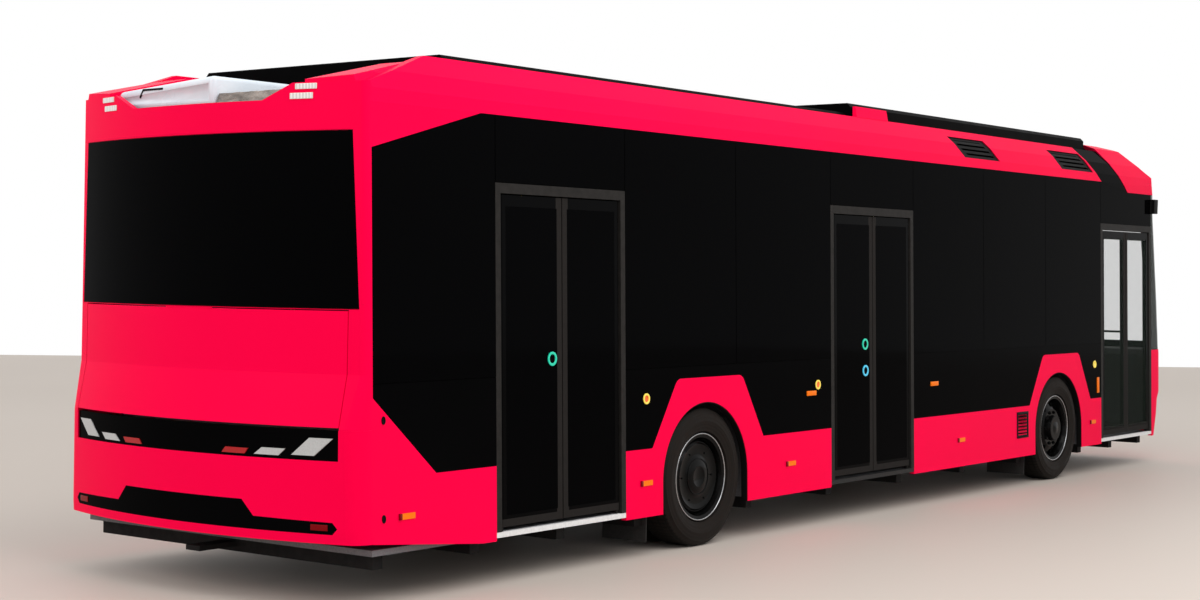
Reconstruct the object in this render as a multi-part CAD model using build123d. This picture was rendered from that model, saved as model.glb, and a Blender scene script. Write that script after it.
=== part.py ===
"""Low-floor battery-electric city bus, 12.2 m, three double doors on the right side.

Millimetres. +X points forward, +Y to the bus's left, +Z up. The origin lies on the ground under
the middle of the bus. Each function below makes one node, and NODES at the end lists them.
"""
import math
import os

from build123d import *

# Overall sizes
LENGTH = 12200
WIDTH = 2550
WHEELBASE = 5850
REAR_OVERHANG = 3600
SIDE_LEAN = 1.1            # degrees that each side wall leans inwards
SKIRT_BOTTOM = 270
BAND_TOP = 720             # top of the coloured lower band
SILL = 1250                # top of the cladding, foot of the side glass
WALL_TOP = 2820            # top of the side glass, foot of the roof cove
COVE_TOP = 3130
SKIN = 40                  # thickness of moulded body panels
WALL_THICK = 45
GLASS = 6
SEAM = 6                   # open joint between outer panels
SEAT = 0.3                 # gap between a piece and what carries it
RUN = 8                    # running gap round a door leaf
FLOOR_TOP = 320
FLOOR_THICK = 35
ROOF_TOP = 2834
ROOF_THICK = 40

# Axles, wheels and tyres
TYRE_R = 478.5
TYRE_W = 276
RIM_R = 286                # bead seat
RIM_FLANGE = 305
TWIN_SPACING = 312
OUTER_TYRE_Y = 1110        # centre of the outer tyre on each side
TRACK_FRONT_Y = 1110
KINGPIN_Y = 905
KINGPIN_R = 22
SPINDLE_FRONT = 45
SPINDLE_REAR = 60
ARCH_R = 520
BOX_HALF = 620             # half length of a wheel box
BOX_TOP = 1045
BOX_WALL = 20
BOX_INNER_Y = 455          # inner face of the wheel boxes, seen from the aisle

# Doors, as (name, aft edge, fore edge) of the outer frame, along x
DOORS = (("rear", -4735, -3435), ("middle", -810, 510), ("front", 4340, 5630))
DOOR_TOP = 2415
FRAME_DEPTH = 60           # depth of the fixed door frame
JAMB = 48                  # width of the fixed frame beside the leaves
HEADER = 62
LEAF_THICK = 36
LEAF_INSET = 10            # outer face of a leaf behind the side surface
LEAF_BOTTOM = 346
LEAF_STILE = 42
PIVOT_R = 11               # foot pivot of a leaf
LEAF_MEET = 58             # stile and rubber at the middle of the door
LEAF_RAIL = 80

# Ends of the bus: distance of the nose or tail tip along x at each height
SIDE_REAR = -5790          # where the flat side panels end
SIDE_FRONT = 5634
REAR_BOW = 4000            # radius of the rear in plan
FRONT_BOW = 7000
FOOT_CUT = ((SIDE_REAR, 1172), (-5270, BAND_TOP))     # slanted foot of the rear side glass
HATCH_BOTTOM = 1008
HATCH_TOP = 1654
HATCH_HALF = 1134
HATCH_GAP = 6
HATCH_HINGE = (6029, HATCH_TOP + 2.5)                 # line of the hatch's hinge, tail side
LAMP_BOTTOM = 822
LAMP_TOP = 994
TAIL_TOP = 2930
MASK_TOP = 1150
SCREEN_TOP = 2560
BROW_TOP = 2738
# Each end, as (height, tip, radius of the corner in plan)
REAR_TIPS = ((360, 6096, 130), (430, 6100, 130), (1000, 6100, 130), (1300, 6036, 60),
             (1660, 6030, 44), (TAIL_TOP, 6026, 44))
FRONT_TIPS = ((270, 5952, 230), (480, 6020, 230), (640, 6048, 230), (720, 6096, 230),
              (1120, 6100, 230), (1180, 6090, 230), (1660, 6051, 230), (2520, 5956, 230),
              (2740, 5944, 230))

REAR_AXLE_X = -LENGTH / 2 + REAR_OVERHANG
FRONT_AXLE_X = REAR_AXLE_X + WHEELBASE
AXLE_Z = TYRE_R
LEAN = math.tan(math.radians(SIDE_LEAN))
SIN, COS = math.sin(math.radians(SIDE_LEAN)), math.cos(math.radians(SIDE_LEAN))
DOOR_BOTTOM = FLOOR_TOP + SEAT + FRAME_DEPTH * SIN
SIDE = Plane(origin=(0, -WIDTH / 2, SKIRT_BOTTOM), x_dir=(1, 0, 0), z_dir=(0, -COS, SIN))
INWARD = Vector(0, COS, -SIN)


def side_y(z):
    """Half width of the body at height z."""
    return WIDTH / 2 - (z - SKIRT_BOTTOM) * LEAN


def block(x0, x1, y0, y1, z0, z1):
    """Box between two corners."""
    return Pos((x0 + x1) / 2, (y0 + y1) / 2, (z0 + z1) / 2) * Box(x1 - x0, y1 - y0, z1 - z0)


def rod(x, y, z, radius, length, axis="z"):
    """Cylinder centred on a point, along one axis."""
    turn = {"z": Rot(0, 0, 0), "y": Rot(90, 0, 0), "x": Rot(0, 90, 0)}[axis]
    return Pos(x, y, z) * turn * Cylinder(radius, length)


def slab(points, inset, thick):
    """Panel of the right side, from (x, height) points, at a depth below the side surface."""
    face = Polygon(*[(x, z - SKIRT_BOTTOM) for x, z in points], align=None)
    return extrude(SIDE.offset(-inset) * face, amount=thick, dir=INWARD)


def frame_points(x0, x1, z0, z1):
    """Corners of a rectangle on the side."""
    return ((x0, z0), (x1, z0), (x1, z1), (x0, z1))


def along_y(points, y0, y1):
    """Prism from (x, z) points, between two values of y."""
    face = Plane.XZ * Polygon(*points, align=None)
    return extrude(Pos(0, y0, 0) * face, amount=y1 - y0, dir=(0, 1, 0))


def along_x(points, x0, x1):
    """Prism from (y, z) points, between two values of x."""
    face = Plane.YZ * Polygon(*points, align=None)
    return extrude(Pos(x0, 0, 0) * face, amount=x1 - x0, dir=(1, 0, 0))


def both(part):
    """A piece and its mirror image on the other side of the bus."""
    return Compound(children=list(part.solids()) + list(mirror(part, about=Plane.XZ).solids()))


def left(part):
    """Mirror image of a piece of the right side."""
    return mirror(part, about=Plane.XZ)


def end_plan(sign, z, tip, corner, inset, bow, flat):
    """Closed plan of one end of the body at height z: flat, corner, bow, corner."""
    half = side_y(z) - inset
    rad = max(corner - inset, 4)
    big = bow - inset
    middle = tip - inset - big
    cx = middle + math.sqrt((big - rad) ** 2 - (half - rad) ** 2)
    slope = math.atan2(half - rad, cx - middle)
    mid = (math.pi / 2 + slope) / 2
    on_bow = (middle + big * math.cos(slope), big * math.sin(slope))
    on_corner = (cx + rad * math.cos(mid), half - rad + rad * math.sin(mid))
    with BuildLine() as line:
        Line((flat, -half), (cx, -half))
        ThreePointArc((cx, -half), (on_corner[0], -on_corner[1]), (on_bow[0], -on_bow[1]))
        ThreePointArc((on_bow[0], -on_bow[1]), (middle + big, 0), on_bow)
        ThreePointArc(on_bow, on_corner, (cx, half))
        Line((cx, half), (flat, half))
        Line((flat, half), (flat, -half))
    face = Pos(0, 0, z) * make_face(line.edges())
    return face if sign > 0 else mirror(face, about=Plane.YZ)


def tip_at(tips, z):
    """Distance of the tip and corner radius at height z, from the table of one end."""
    for (z0, x0, r0), (z1, x1, r1) in zip(tips, tips[1:]):
        if z <= z1:
            share = (z - z0) / (z1 - z0)
            return x0 + (x1 - x0) * share, r0 + (r1 - r0) * share
    return tips[-1][1:]


def end_solid(sign, z0, z1, inset, flat):
    """Solid end of the body between two heights, set in from the outer surface."""
    tips, bow = (FRONT_TIPS, FRONT_BOW) if sign > 0 else (REAR_TIPS, REAR_BOW)
    levels = [z0] + [row[0] for row in tips if z0 + 1 < row[0] < z1 - 1] + [z1]
    plans = [end_plan(sign, z, *tip_at(tips, z), inset, bow, flat) for z in levels]
    return loft(plans, ruled=True)


def end_shell(sign, z0, z1, inset, thick):
    """Curved panel of one end, open towards the body."""
    flat = abs(SIDE_FRONT) if sign > 0 else abs(SIDE_REAR)
    outer = end_solid(sign, z0, z1, inset, flat + SEAT)
    return outer - end_solid(sign, z0, z1, inset + thick, flat - 2 * thick)


def arch(axle_x):
    """Points of the raised panel over a wheel, and its opening as a solid through the side."""
    hood = [(axle_x - 640, BAND_TOP - 1), (axle_x + 730, BAND_TOP - 1), (axle_x + 455, 1170),
            (axle_x - 345, 1170)]
    hole = rod(axle_x, 0, AXLE_Z, ARCH_R, WIDTH * 1.2, "y")
    hole += block(axle_x - ARCH_R, axle_x + ARCH_R, -WIDTH * 0.6, WIDTH * 0.6, 0, AXLE_Z)
    return hood, hole


def hood_slab(axle_x, grow, inset, thick):
    """Raised panel over a wheel, with rounded upper corners."""
    hood, _ = arch(axle_x)
    up = [(-grow, 0), (grow, 0), (grow * 0.6, grow), (-grow * 0.6, grow)]
    points = [(x + dx, z + dz) for (x, z), (dx, dz) in zip(hood, up)]
    panel = slab(points, inset, thick)
    tops = panel.edges().filter_by(lambda e: e.length < thick + 1).group_by(Axis.Z)[-1]
    return fillet(tops, 80)


def skirt(segments):
    """Lower coloured panels of the right side, between the door gaps."""
    side = None
    for x0, x1 in segments:
        if x0 <= SIDE_REAR + 1:
            points = [(x0, 360), (-4860, SKIRT_BOTTOM), (x1, SKIRT_BOTTOM), (x1, BAND_TOP),
                      FOOT_CUT[1], FOOT_CUT[0]]
        else:
            points = frame_points(x0, x1, SKIRT_BOTTOM, BAND_TOP)
        panel = slab(points, 0, SKIN)
        for axle_x in (REAR_AXLE_X, FRONT_AXLE_X):
            if x0 < axle_x < x1:
                panel = panel + hood_slab(axle_x, 0, 0, SKIN) - arch(axle_x)[1]
        side = panel if side is None else side + panel
    return side


def door_cut(x0, x1, grow=0.0):
    """Solid that opens the side for a door."""
    return slab(frame_points(x0 - grow, x1 + grow, 0, DOOR_TOP + grow), -50, 300)


def below_nose(part, gap):
    """Trim the top of a side piece along the foot of the slanted band and the nose."""
    foot, nose = BAND_AFT[1], BAND_FORE[1]
    line = ((foot[0], foot[1] - gap), (nose[0], nose[1] - gap), (6300, nose[1] - gap), (6300, 3000),
            (foot[0], 3000))
    return part - along_y(line, -1400, 0)


def wall(doors, windows):
    """Upper side wall of the right side with its windows cut."""
    rear_foot = [(SIDE_REAR, FOOT_CUT[0][1] + SEAM / 6), (FOOT_CUT[1][0], BAND_TOP + SEAT)]
    outline = rear_foot + [(SIDE_FRONT, BAND_TOP + SEAT), (SIDE_FRONT, WALL_TOP - SEAT),
                           (-4861, WALL_TOP - SEAT), (SIDE_REAR, 2560)]
    body = slab(outline, GLASS, WALL_THICK)
    clad = [(SIDE_REAR + 4, FOOT_CUT[0][1] + SEAM), (FOOT_CUT[1][0], BAND_TOP + 4),
            (SIDE_FRONT, BAND_TOP + 4), (SIDE_FRONT, SILL - 3), (SIDE_REAR + 4, SILL - 3)]
    body += slab(clad, 0, GLASS)
    for axle_x in (REAR_AXLE_X, FRONT_AXLE_X):
        body -= hood_slab(axle_x, SEAT, -10, 100)
        body -= arch(axle_x)[1]
    for _, x0, x1 in doors:
        body -= door_cut(x0, x1)
    for x0, x1, z0, z1 in windows:
        body -= slab(frame_points(x0, x1, z0, z1), -10, 100)
    return below_nose(body, SEAT)


def glazing(panes):
    """Outer glass of the right side: one sheet for each pane."""
    sheets = [below_nose(slab(points, 0, GLASS - SEAT), 4) for points in panes]
    return Compound(children=[sheet.solid() for sheet in sheets])


WINDOW_FOOT = 1330
WINDOW_HEAD = 2500
POST = 70                  # half width of wall left behind a glass seam

# Seams between side panes, along x
RIGHT_BAYS = ((-3435, -2120, -810), (510, 1790, 3065, 4340))
LEFT_BAYS = ((-4400, -3120, -1850, -580, 690, 1960, 3230, 4290, SIDE_FRONT),)


def bay_windows(bays):
    """Window cut-outs behind each pane."""
    cuts = []
    for seams in bays:
        for x0, x1 in zip(seams, seams[1:]):
            cuts.append((x0 + POST, x1 - POST, WINDOW_FOOT, WINDOW_HEAD))
    return cuts


def bay_panes(bays):
    """Panes between the seams."""
    half = SEAM / 2
    return [frame_points(x0 + half, x1 - half, SILL + half, WALL_TOP - 4)
            for seams in bays for x0, x1 in zip(seams, seams[1:])]


def door_tops():
    """Strips of glass over the doors."""
    return [frame_points(x0 + 3, x1 - 3, DOOR_TOP + 4, WALL_TOP - 4) for _, x0, x1 in DOORS]


REAR_PANE = [(-5786, SILL + 3), (-4738, SILL + 3), (-4738, WALL_TOP - 4), (-4858, WALL_TOP - 4),
             (-5786, 2560)]


def skirt_right():
    return skirt([(SIDE_REAR, -4735), (-3435, -810), (510, 4340)])


def skirt_left():
    return left(skirt([(SIDE_REAR, -4735), (-4729, -1000), (-994, 1200), (1206, 4340),
                       (4346, SIDE_FRONT)]))


def wall_right():
    return wall(DOORS, bay_windows(RIGHT_BAYS))


def wall_left():
    return left(wall((), bay_windows(LEFT_BAYS) + [(-5560, -4560, 1700, 2480)]))


def glazing_right():
    return glazing([REAR_PANE] + bay_panes(RIGHT_BAYS) + door_tops())


def glazing_left():
    return left(glazing(bay_panes(LEFT_BAYS)))


def air_grilles():
    """Louvred intakes: left rear corner, roof coves and front panel."""
    solids = [side_grille().solid(), front_grille().solid()] + list(cove_vents().solids())
    return Compound(children=solids)


def side_grille():
    """Louvred air intake high on the left rear corner."""
    x0, x1, z0, z1 = -5780, -4404, SILL + 3, 2500
    frame = slab([(x0, z0), (x1, z0), (x1, WALL_TOP - 4), (-4858, WALL_TOP - 4), (x0, 2560)], 0,
                 GLASS - SEAT)
    opening = slab(frame_points(-5560, -4560, 1700, 2480), -10, 100)
    frame -= opening
    pitch, blade = 65, 34
    count = int((2480 - 1700) / pitch)
    for i in range(count):
        z = 1700 + pitch * (i + 0.5)
        frame += slab(((-5562, z - blade), (-4558, z - blade), (-4558, z), (-5562, z)), -3, 9)
    return left(frame)


def door_frames():
    """Fixed frames of the three doors."""
    frames = []
    for _, x0, x1 in DOORS:
        outer = slab(frame_points(x0 + SEAT, x1 - SEAT, DOOR_BOTTOM, DOOR_TOP - SEAT), 0, FRAME_DEPTH)
        inner = frame_points(x0 + JAMB, x1 - JAMB, DOOR_BOTTOM - 10, DOOR_TOP - HEADER)
        frames.append((outer - slab(inner, -10, 100)).solid())
    return Compound(children=frames)


def door_sills():
    """Bright step edges under the doors."""
    return Compound(children=[
        slab(frame_points(x0 + SEAT, x1 - SEAT, FLOOR_TOP - 32, FLOOR_TOP), 2, SKIN - 2).solid()
        for _, x0, x1 in DOORS])


def leaf_edges(x0, x1, side):
    """Hinge position and free edge of one leaf, side 0 for aft and 1 for fore."""
    middle = (x0 + x1) / 2
    reach = LEAF_THICK / 2 + RUN
    return ((x0 + JAMB + reach, middle - 5) if side == 0 else (x1 - JAMB - reach, middle + 5))


def leaf_body(x0, x1, side, foot, head, inset, thick):
    """Slab of a leaf with its hinge edge rounded about the hinge."""
    hinge, free = leaf_edges(x0, x1, side)
    lo, hi = min(hinge, free), max(hinge, free)
    body = slab(frame_points(lo, hi, foot, head), inset, thick)
    post = Cylinder(thick / 2, head - foot, align=(Align.CENTER, Align.CENTER, Align.MIN))
    local = SIDE.offset(-(inset + thick / 2))
    post = local * Pos(hinge, foot - SKIRT_BOTTOM, 0) * Rot(-90, 0, 0) * post
    low = FLOOR_TOP + SEAT
    pivot = Cylinder(PIVOT_R, foot - low + 5, align=(Align.CENTER, Align.CENTER, Align.MIN))
    pivot = local * Pos(hinge, low - SKIRT_BOTTOM, 0) * Rot(-90, 0, 0) * pivot
    return body + post + pivot


def leaf_window(x0, x1, side, grow=0.0):
    """Points of the glass in one leaf."""
    hinge, free = leaf_edges(x0, x1, side)
    outer = hinge + (LEAF_STILE - grow) * (1 if side == 0 else -1)
    inner = free - (LEAF_MEET - grow) * (1 if side == 0 else -1)
    lo, hi = min(outer, inner), max(outer, inner)
    return frame_points(lo, hi, LEAF_BOTTOM + LEAF_RAIL - grow, LEAF_HEAD - LEAF_RAIL + grow)


LEAF_HEAD = DOOR_TOP - HEADER - RUN


def leaf_frame(x0, x1, side):
    """Frame of one door leaf, rebated for its glass."""
    body = leaf_body(x0, x1, side, LEAF_BOTTOM, LEAF_HEAD, LEAF_INSET, LEAF_THICK)
    body -= slab(leaf_window(x0, x1, side), -20, 120)
    return body - slab(leaf_window(x0, x1, side, 12), LEAF_INSET - 5, 5 + GLASS)


def leaf_glass(x0, x1, side):
    """Glass of one door leaf."""
    return slab(leaf_window(x0, x1, side, 12 - SEAT), LEAF_INSET, GLASS - SEAT)


def hatch_prism(half, z0, z1):
    """Prism that trims the rear panels."""
    return block(-LENGTH, 0, -half, half, z0, z1)


def rear_frame():
    """Rear corner pillars and top, open for the hatch and the window."""
    body = end_shell(-1, LAMP_TOP + SEAT, TAIL_TOP, 0, SKIN)
    body -= hatch_prism(HATCH_HALF + HATCH_GAP, 900, HATCH_TOP + HATCH_GAP)
    body -= along_x(window_points(-60), -LENGTH, 0)
    recess = end_shell(-1, 1600, 2700, -20, 20 + GLASS + SEAT) & along_x(window_points(2), -LENGTH, 0)
    body -= recess
    return body - along_x(NOTCH, -LENGTH, 0)


NOTCH = ((-560, 2838), (560, 2838), (840, 2960), (-840, 2960))


def window_points(grow):
    """Outline of the rear window on y and z."""
    foot, head = 1664, 2660
    return ((-1200 - grow, foot - grow), (1200 + grow, foot - grow), (1150 + grow, head + grow),
            (-1150 - grow, head + grow))


def rear_window():
    return end_shell(-1, 1600, 2700, 0, GLASS) & along_x(window_points(-2), -LENGTH, 0)


def rear_hatch():
    """Lid over the drive compartment, hinged along its upper edge."""
    lid = end_shell(-1, HATCH_BOTTOM, HATCH_TOP, 0, SKIN) & hatch_prism(HATCH_HALF, 900, 1700)
    return lid + rod(-HATCH_HINGE[0], 0, HATCH_HINGE[1], 2.9, 400, "y")


def rear_bumper():
    body = end_shell(-1, 362, LAMP_TOP, 0, SKIN)
    body -= hatch_prism(HATCH_HALF + 3, LAMP_BOTTOM - SEAT, 1100)
    recess = end_shell(-1, 366, 700, -10, 16) & along_x(insert_points(2 * SEAT), -LENGTH, 0)
    return body - recess


def rear_trim():
    """Dark strip that carries the rear lamps, and the dark insert of the bumper."""
    strip = end_shell(-1, LAMP_BOTTOM, LAMP_TOP - 2, 10, 30)
    strip &= hatch_prism(HATCH_HALF + 2.7, 800, 1100)
    return Compound(children=[strip.solid(), bumper_insert().solid()])


# Lamps, as (foot half-way points y0, y1, head y0, y1, foot z, head z)
REAR_LAMPS = ((840, 985, 955, 1100, 848, 948), (587, 755, 641, 800, 840, 880),
              (350, 520, 378, 544, 838, 870))


def rear_lamps():
    """Slanted lamp lenses in the strip."""
    skin = end_shell(-1, LAMP_BOTTOM, LAMP_TOP - 2, 4, 6 - SEAT)
    lenses = []
    for f0, f1, h0, h1, z0, z1 in REAR_LAMPS:
        lenses.append(skin & along_x(((f0, z0), (f1, z0), (h1, z1), (h0, z1)), -LENGTH, 0))
    return both(Compound(children=[s.solid() for s in lenses]))


def insert_points(grow):
    """Outline of the bumper's dark insert on y and z."""
    half = ((1105 + grow, 415 - grow), (1135 + grow, 448), (1105 + grow, 482 + grow),
            (590 + grow, 490 + grow), (505 + grow, 580 + grow))
    return half + tuple((-y, z) for y, z in half[::-1])


def bumper_insert():
    """Dark lower insert of the rear bumper with its raised middle."""
    return end_shell(-1, 366, 700, 1, 5 - SEAT) & along_x(insert_points(0), -LENGTH, 0)


def cove_points(grow_in):
    """Half section (y, z) of the roof cove, moved in from the outer surface."""
    d = grow_in
    return [(side_y(2555) - d, 2555), (side_y(WALL_TOP) - d, WALL_TOP), (1216 - d, 2900),
            (1180 - d, 3010 - d * 0.4), (1105 - d, COVE_TOP - d)]


def cove_solid(x0, x1):
    """Cove profile along the bus, left side."""
    outer, inner = cove_points(0), cove_points(SKIN)
    return along_x(outer + [(1060, COVE_TOP), (1060, COVE_TOP - SKIN)] + inner[::-1][1:], x0, x1)


BAND_AFT = ((3890, 3160), (4370, WALL_TOP))        # rear edge of the dark slanted band
BAND_FORE = ((4460, 3160), (5030, BROW_TOP))       # front edge of the dark slanted band
VENTS = ((1260, 1940), (3260, 3990))               # upper edge of each air vent, along x


def vent_points(x0, x1, grow=0.0):
    """Slanted outline of an air vent in the cove."""
    side = 3 * grow
    return ((x0 - side, 3070 + grow), (x1 + side, 3070 + grow), (x1 + 205 + side, 2900 - grow),
            (x0 + 205 - side, 2900 - grow))


def cove():
    """Coloured roof edge of the left side, with its vents cut."""
    outline = ((SIDE_REAR, 2565), (-4861, WALL_TOP), BAND_AFT[1], BAND_AFT[0], (-5150, 3160),
               (SIDE_REAR, 2935))
    body = cove_solid(SIDE_REAR, 4500) & along_y(outline, 1000, 1300)
    for x0, x1 in VENTS:
        body -= along_y(vent_points(x0, x1), 1000, 1300)
    return body


def roof_coves():
    """Coves, raised covers and sloping tail covers of both sides."""
    right = [part.solid() for part in (cove(), cove_cap(), rear_cap())]
    return both(Compound(children=right))


def cove_vents():
    """Louvres in the cove vents."""
    grilles = []
    for x0, x1 in VENTS:
        skin = along_x(cove_points(8)[1:] + cove_points(16)[::-1][:-1], x0 - 10, x1 + 240)
        panel = skin & along_y(vent_points(x0, x1, -SEAT), 1000, 1300)
        for i in range(4):
            z = 2925 + i * 38
            panel -= along_y(((x0 + 40, z), (x1 + 160, z), (x1 + 160, z + 16), (x0 + 40, z + 16)),
                             1000, 1300) & along_y(vent_points(x0, x1, -25), 1000, 1300)
        grilles.append(panel.solid())
    return both(Compound(children=grilles))


def cove_bands():
    """Dark slanted bands between the coves and the nose."""
    gap = 2 * SEAT
    outline = ((BAND_AFT[0][0] + gap, 3160), (BAND_AFT[1][0] + gap, WALL_TOP), BAND_FORE[1],
               (BAND_FORE[0][0] - gap, 3160))
    outline = outline[:2] + ((BAND_FORE[1][0] - gap, BROW_TOP), outline[3])
    outer, inner = cove_points(5), cove_points(SKIN)
    body = along_x(outer + [(1060, COVE_TOP - 5), (1060, COVE_TOP - SKIN)] + inner[::-1][1:], 3800, 5200)
    return both(body & along_y(outline, 1000, 1300))


def fore_x(z):
    """Front edge of the slanted band at height z."""
    (x0, z0), (x1, z1) = BAND_FORE
    return x0 + (x1 - x0) * (z - z0) / (z1 - z0)


def nose_solid(inset):
    """Front of the roof as a solid, set in from its surface."""
    flat = 4000
    z0, z1 = BROW_TOP + SEAT, 3200
    tip, corner = tip_at(FRONT_TIPS, z0)
    plans = [end_plan(1, z, x, corner, inset, FRONT_BOW, flat) for z, x in ((z0, tip), (z1, tip - 80))]
    body = loft(plans, ruled=True)
    top = 3190 - inset
    side = ((fore_x(z0), z0), (6200, z0), (6200, 2790 - inset), (5830, 2862 - inset),
            (5480, 2985 - inset), (5050, 3165 - inset), (4760, top), (fore_x(top), top))
    section = cove_points(inset)
    crown = [(y, z) for y, z in section[:-1]] + [(1100 - inset, COVE_TOP + 22 - inset),
                                                  (1000, top), (-1000, top)]
    mirrored = [(-y, z) for y, z in crown[:-2]][::-1]
    return body & along_y(side, -1400, 1400) & along_x(crown + mirrored, 4000, 6300)


def nose_cap():
    """Coloured cap at the front of the roof."""
    body = nose_solid(0) - nose_solid(SKIN)
    return body - block(4000, 6300, -1100, 1100, 2000, 2760)


def cove_cap():
    """Raised cover where the two roof housings meet."""
    body = along_x([(1108, COVE_TOP + SEAT), (1090, 3215), (1066, 3215), (1066, COVE_TOP + SEAT)], -200, 300)
    return body


def rear_cap():
    """Sloping cover from the tail up to the cove."""
    foot = TAIL_TOP + SEAT
    slope = ((-6000, foot), (-6000, foot + 2), (-5150, 3130), (-5150, 3092), (-5790, foot))
    body = along_y(slope, 850, 1250)
    body &= along_x(cove_points(SKIN + SEAT)[1:] + [(850, COVE_TOP - SKIN), (850, 2700)], -6100, -5000)
    tail = end_solid(-1, TAIL_TOP - 20, 3200, 2, abs(SIDE_REAR) - 1) + block(-5790, 0, 0, 1300, 2800, 3200)
    return body & tail


def roof_panel():
    """Roof skin between the walls."""
    half = side_y(WALL_TOP) - GLASS - WALL_THICK - SEAT
    return block(SIDE_REAR + 10, 5300, -half, half, ROOF_TOP - ROOF_THICK, ROOF_TOP)


def roof_housings():
    """Covered battery packs over the front half of the roof, converters over the rear half."""
    return Compound(children=[battery_housing().solid(), equipment_housing().solid()])


def battery_housing():
    """Covered battery packs over the front half of the roof."""
    side = ((-200, ROOF_TOP + SEAT), (4780, ROOF_TOP + SEAT), (4340, 3160), (4340, 3245), (-200, 3245))
    body = along_y(side, -1045, 1045)
    tops = body.edges().filter_by(Axis.X).group_by(Axis.Z)[-1]
    return chamfer(tops, 30)


def equipment_housing():
    """Covered converters over the rear half of the roof."""
    body = block(-5000, -260, -1045, 1045, ROOF_TOP + SEAT, 3165)
    return chamfer(body.edges().filter_by(Axis.X).group_by(Axis.Z)[-1], 30)


def cooling_unit():
    """Pale cooling unit in the tail's notch, with the low duct across it."""
    body = block(-5690, -5150, 190, 830, ROOF_TOP + SEAT, 3055)
    body = fillet(body.edges().filter_by(Axis.X).group_by(Axis.Z)[-1], 60)
    return Compound(children=[body.solid(), roof_duct().solid()])


def roof_duct():
    """Low ribbed duct across the tail's notch."""
    ridge = ((-5760, ROOF_TOP + SEAT), (-5702, ROOF_TOP + SEAT), (-5702, 2950), (-5730, 2950))
    body = along_y(ridge, -820, 820)
    return body + block(-5702, -5100, -820, -700, ROOF_TOP + SEAT, 2930)


def front_mask():
    """Coloured front panel below the windscreen."""
    body = end_shell(1, SKIRT_BOTTOM, MASK_TOP, 0, SKIN)
    for part in (HEADLAMP, [(-y, z) for y, z in HEADLAMP]):
        body -= along_x(part, 5000, 6200)
    return body - along_x(GRILLE, 5900, 6200)


HEADLAMP = ((560, 690), (1120, 700), (1150, 800), (620, 770))
GRILLE = ((-700, 400), (700, 400), (640, 520), (-640, 520))


def headlamps():
    """Slim slanted headlamps in the front panel."""
    lamp = end_shell(1, 600, 900, 6, 30) & along_x(shrink(HEADLAMP, 0.3), 5000, 6200)
    return both(Compound(children=[lamp.solid()]))


def shrink(points, gap):
    """Outline moved in by a gap towards its middle."""
    my = sum(y for y, _ in points) / len(points)
    mz = sum(z for _, z in points) / len(points)
    return [(y - math.copysign(gap, y - my), z - math.copysign(gap, z - mz)) for y, z in points]


def front_grille():
    """Barred air intake in the front panel."""
    body = end_shell(1, 380, 540, 8, 30) & along_x(shrink(GRILLE, 0.3), 5900, 6200)
    for i in range(3):
        z = 420 + i * 32
        body -= block(5900, 6200, -600, 600, z, z + 16)
    return body


def front_frame():
    """Windscreen surround and front corner pillars."""
    z0, z1 = MASK_TOP + SEAT, BROW_TOP
    body = end_shell(1, z0, z1, GLASS + SEAT, WALL_THICK)
    return body - along_x(((-1080, 1230), (1080, 1230), (1040, 2480), (-1040, 2480)), 5400, 6300)


def windscreen():
    """Windscreen, and the dark glass over it in front of the route display."""
    screen = end_shell(1, MASK_TOP + SEAM, SCREEN_TOP, 0, GLASS)
    brow = end_shell(1, SCREEN_TOP + SEAM, BROW_TOP - 4, 0, GLASS)
    return Compound(children=[screen.solid(), brow.solid()])


def mirror_pods():
    """Camera pods that stand in for mirrors, at the upper front corners."""
    near = side_y(2540) + SEAT
    body = along_y(((5590, 2560), (5780, 2540), (5800, 2600), (5620, 2640)), near, near + 52)
    return both(body)


def floor_deck():
    """Flat floor with the wheel boxes and the air-spring shelves."""
    half = side_y(FLOOR_TOP) - SKIN - SEAT
    deck = block(-5760, 5620, -half, half, FLOOR_TOP - FLOOR_THICK, FLOOR_TOP)
    for axle_x in (REAR_AXLE_X, FRONT_AXLE_X):
        box_half = side_y(BOX_TOP) - WALL_THICK - GLASS - SEAT
        for s in (-1, 1):
            y0, y1 = sorted((s * BOX_INNER_Y, s * box_half))
            hood = block(axle_x - BOX_HALF, axle_x + BOX_HALF, y0, y1, FLOOR_TOP - FLOOR_THICK, BOX_TOP)
            deck += hood
    for axle_x in (REAR_AXLE_X, FRONT_AXLE_X):
        for s in (-1, 1):
            y0, y1 = sorted((s * (BOX_INNER_Y + BOX_WALL), s * WIDTH))
            deck -= block(axle_x - BOX_HALF + BOX_WALL, axle_x + BOX_HALF - BOX_WALL, y0, y1,
                          0, BOX_TOP - BOX_WALL)
            y0, y1 = sorted((s * BOX_INNER_Y, s * 620))
            for fore in (-1, 1):
                x = axle_x + fore * SPRING_X
                deck += block(x - 85, x + 85, y0, y1, SPRING_TOP, SPRING_TOP + 30)
    return deck


SPRING_X = 420             # air springs fore and aft of an axle
SPRING_Y = 548
SPRING_R = 64
SPRING_TOP = 560
BEAM_TOP = 262
BEAM_BOTTOM = 150


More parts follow.
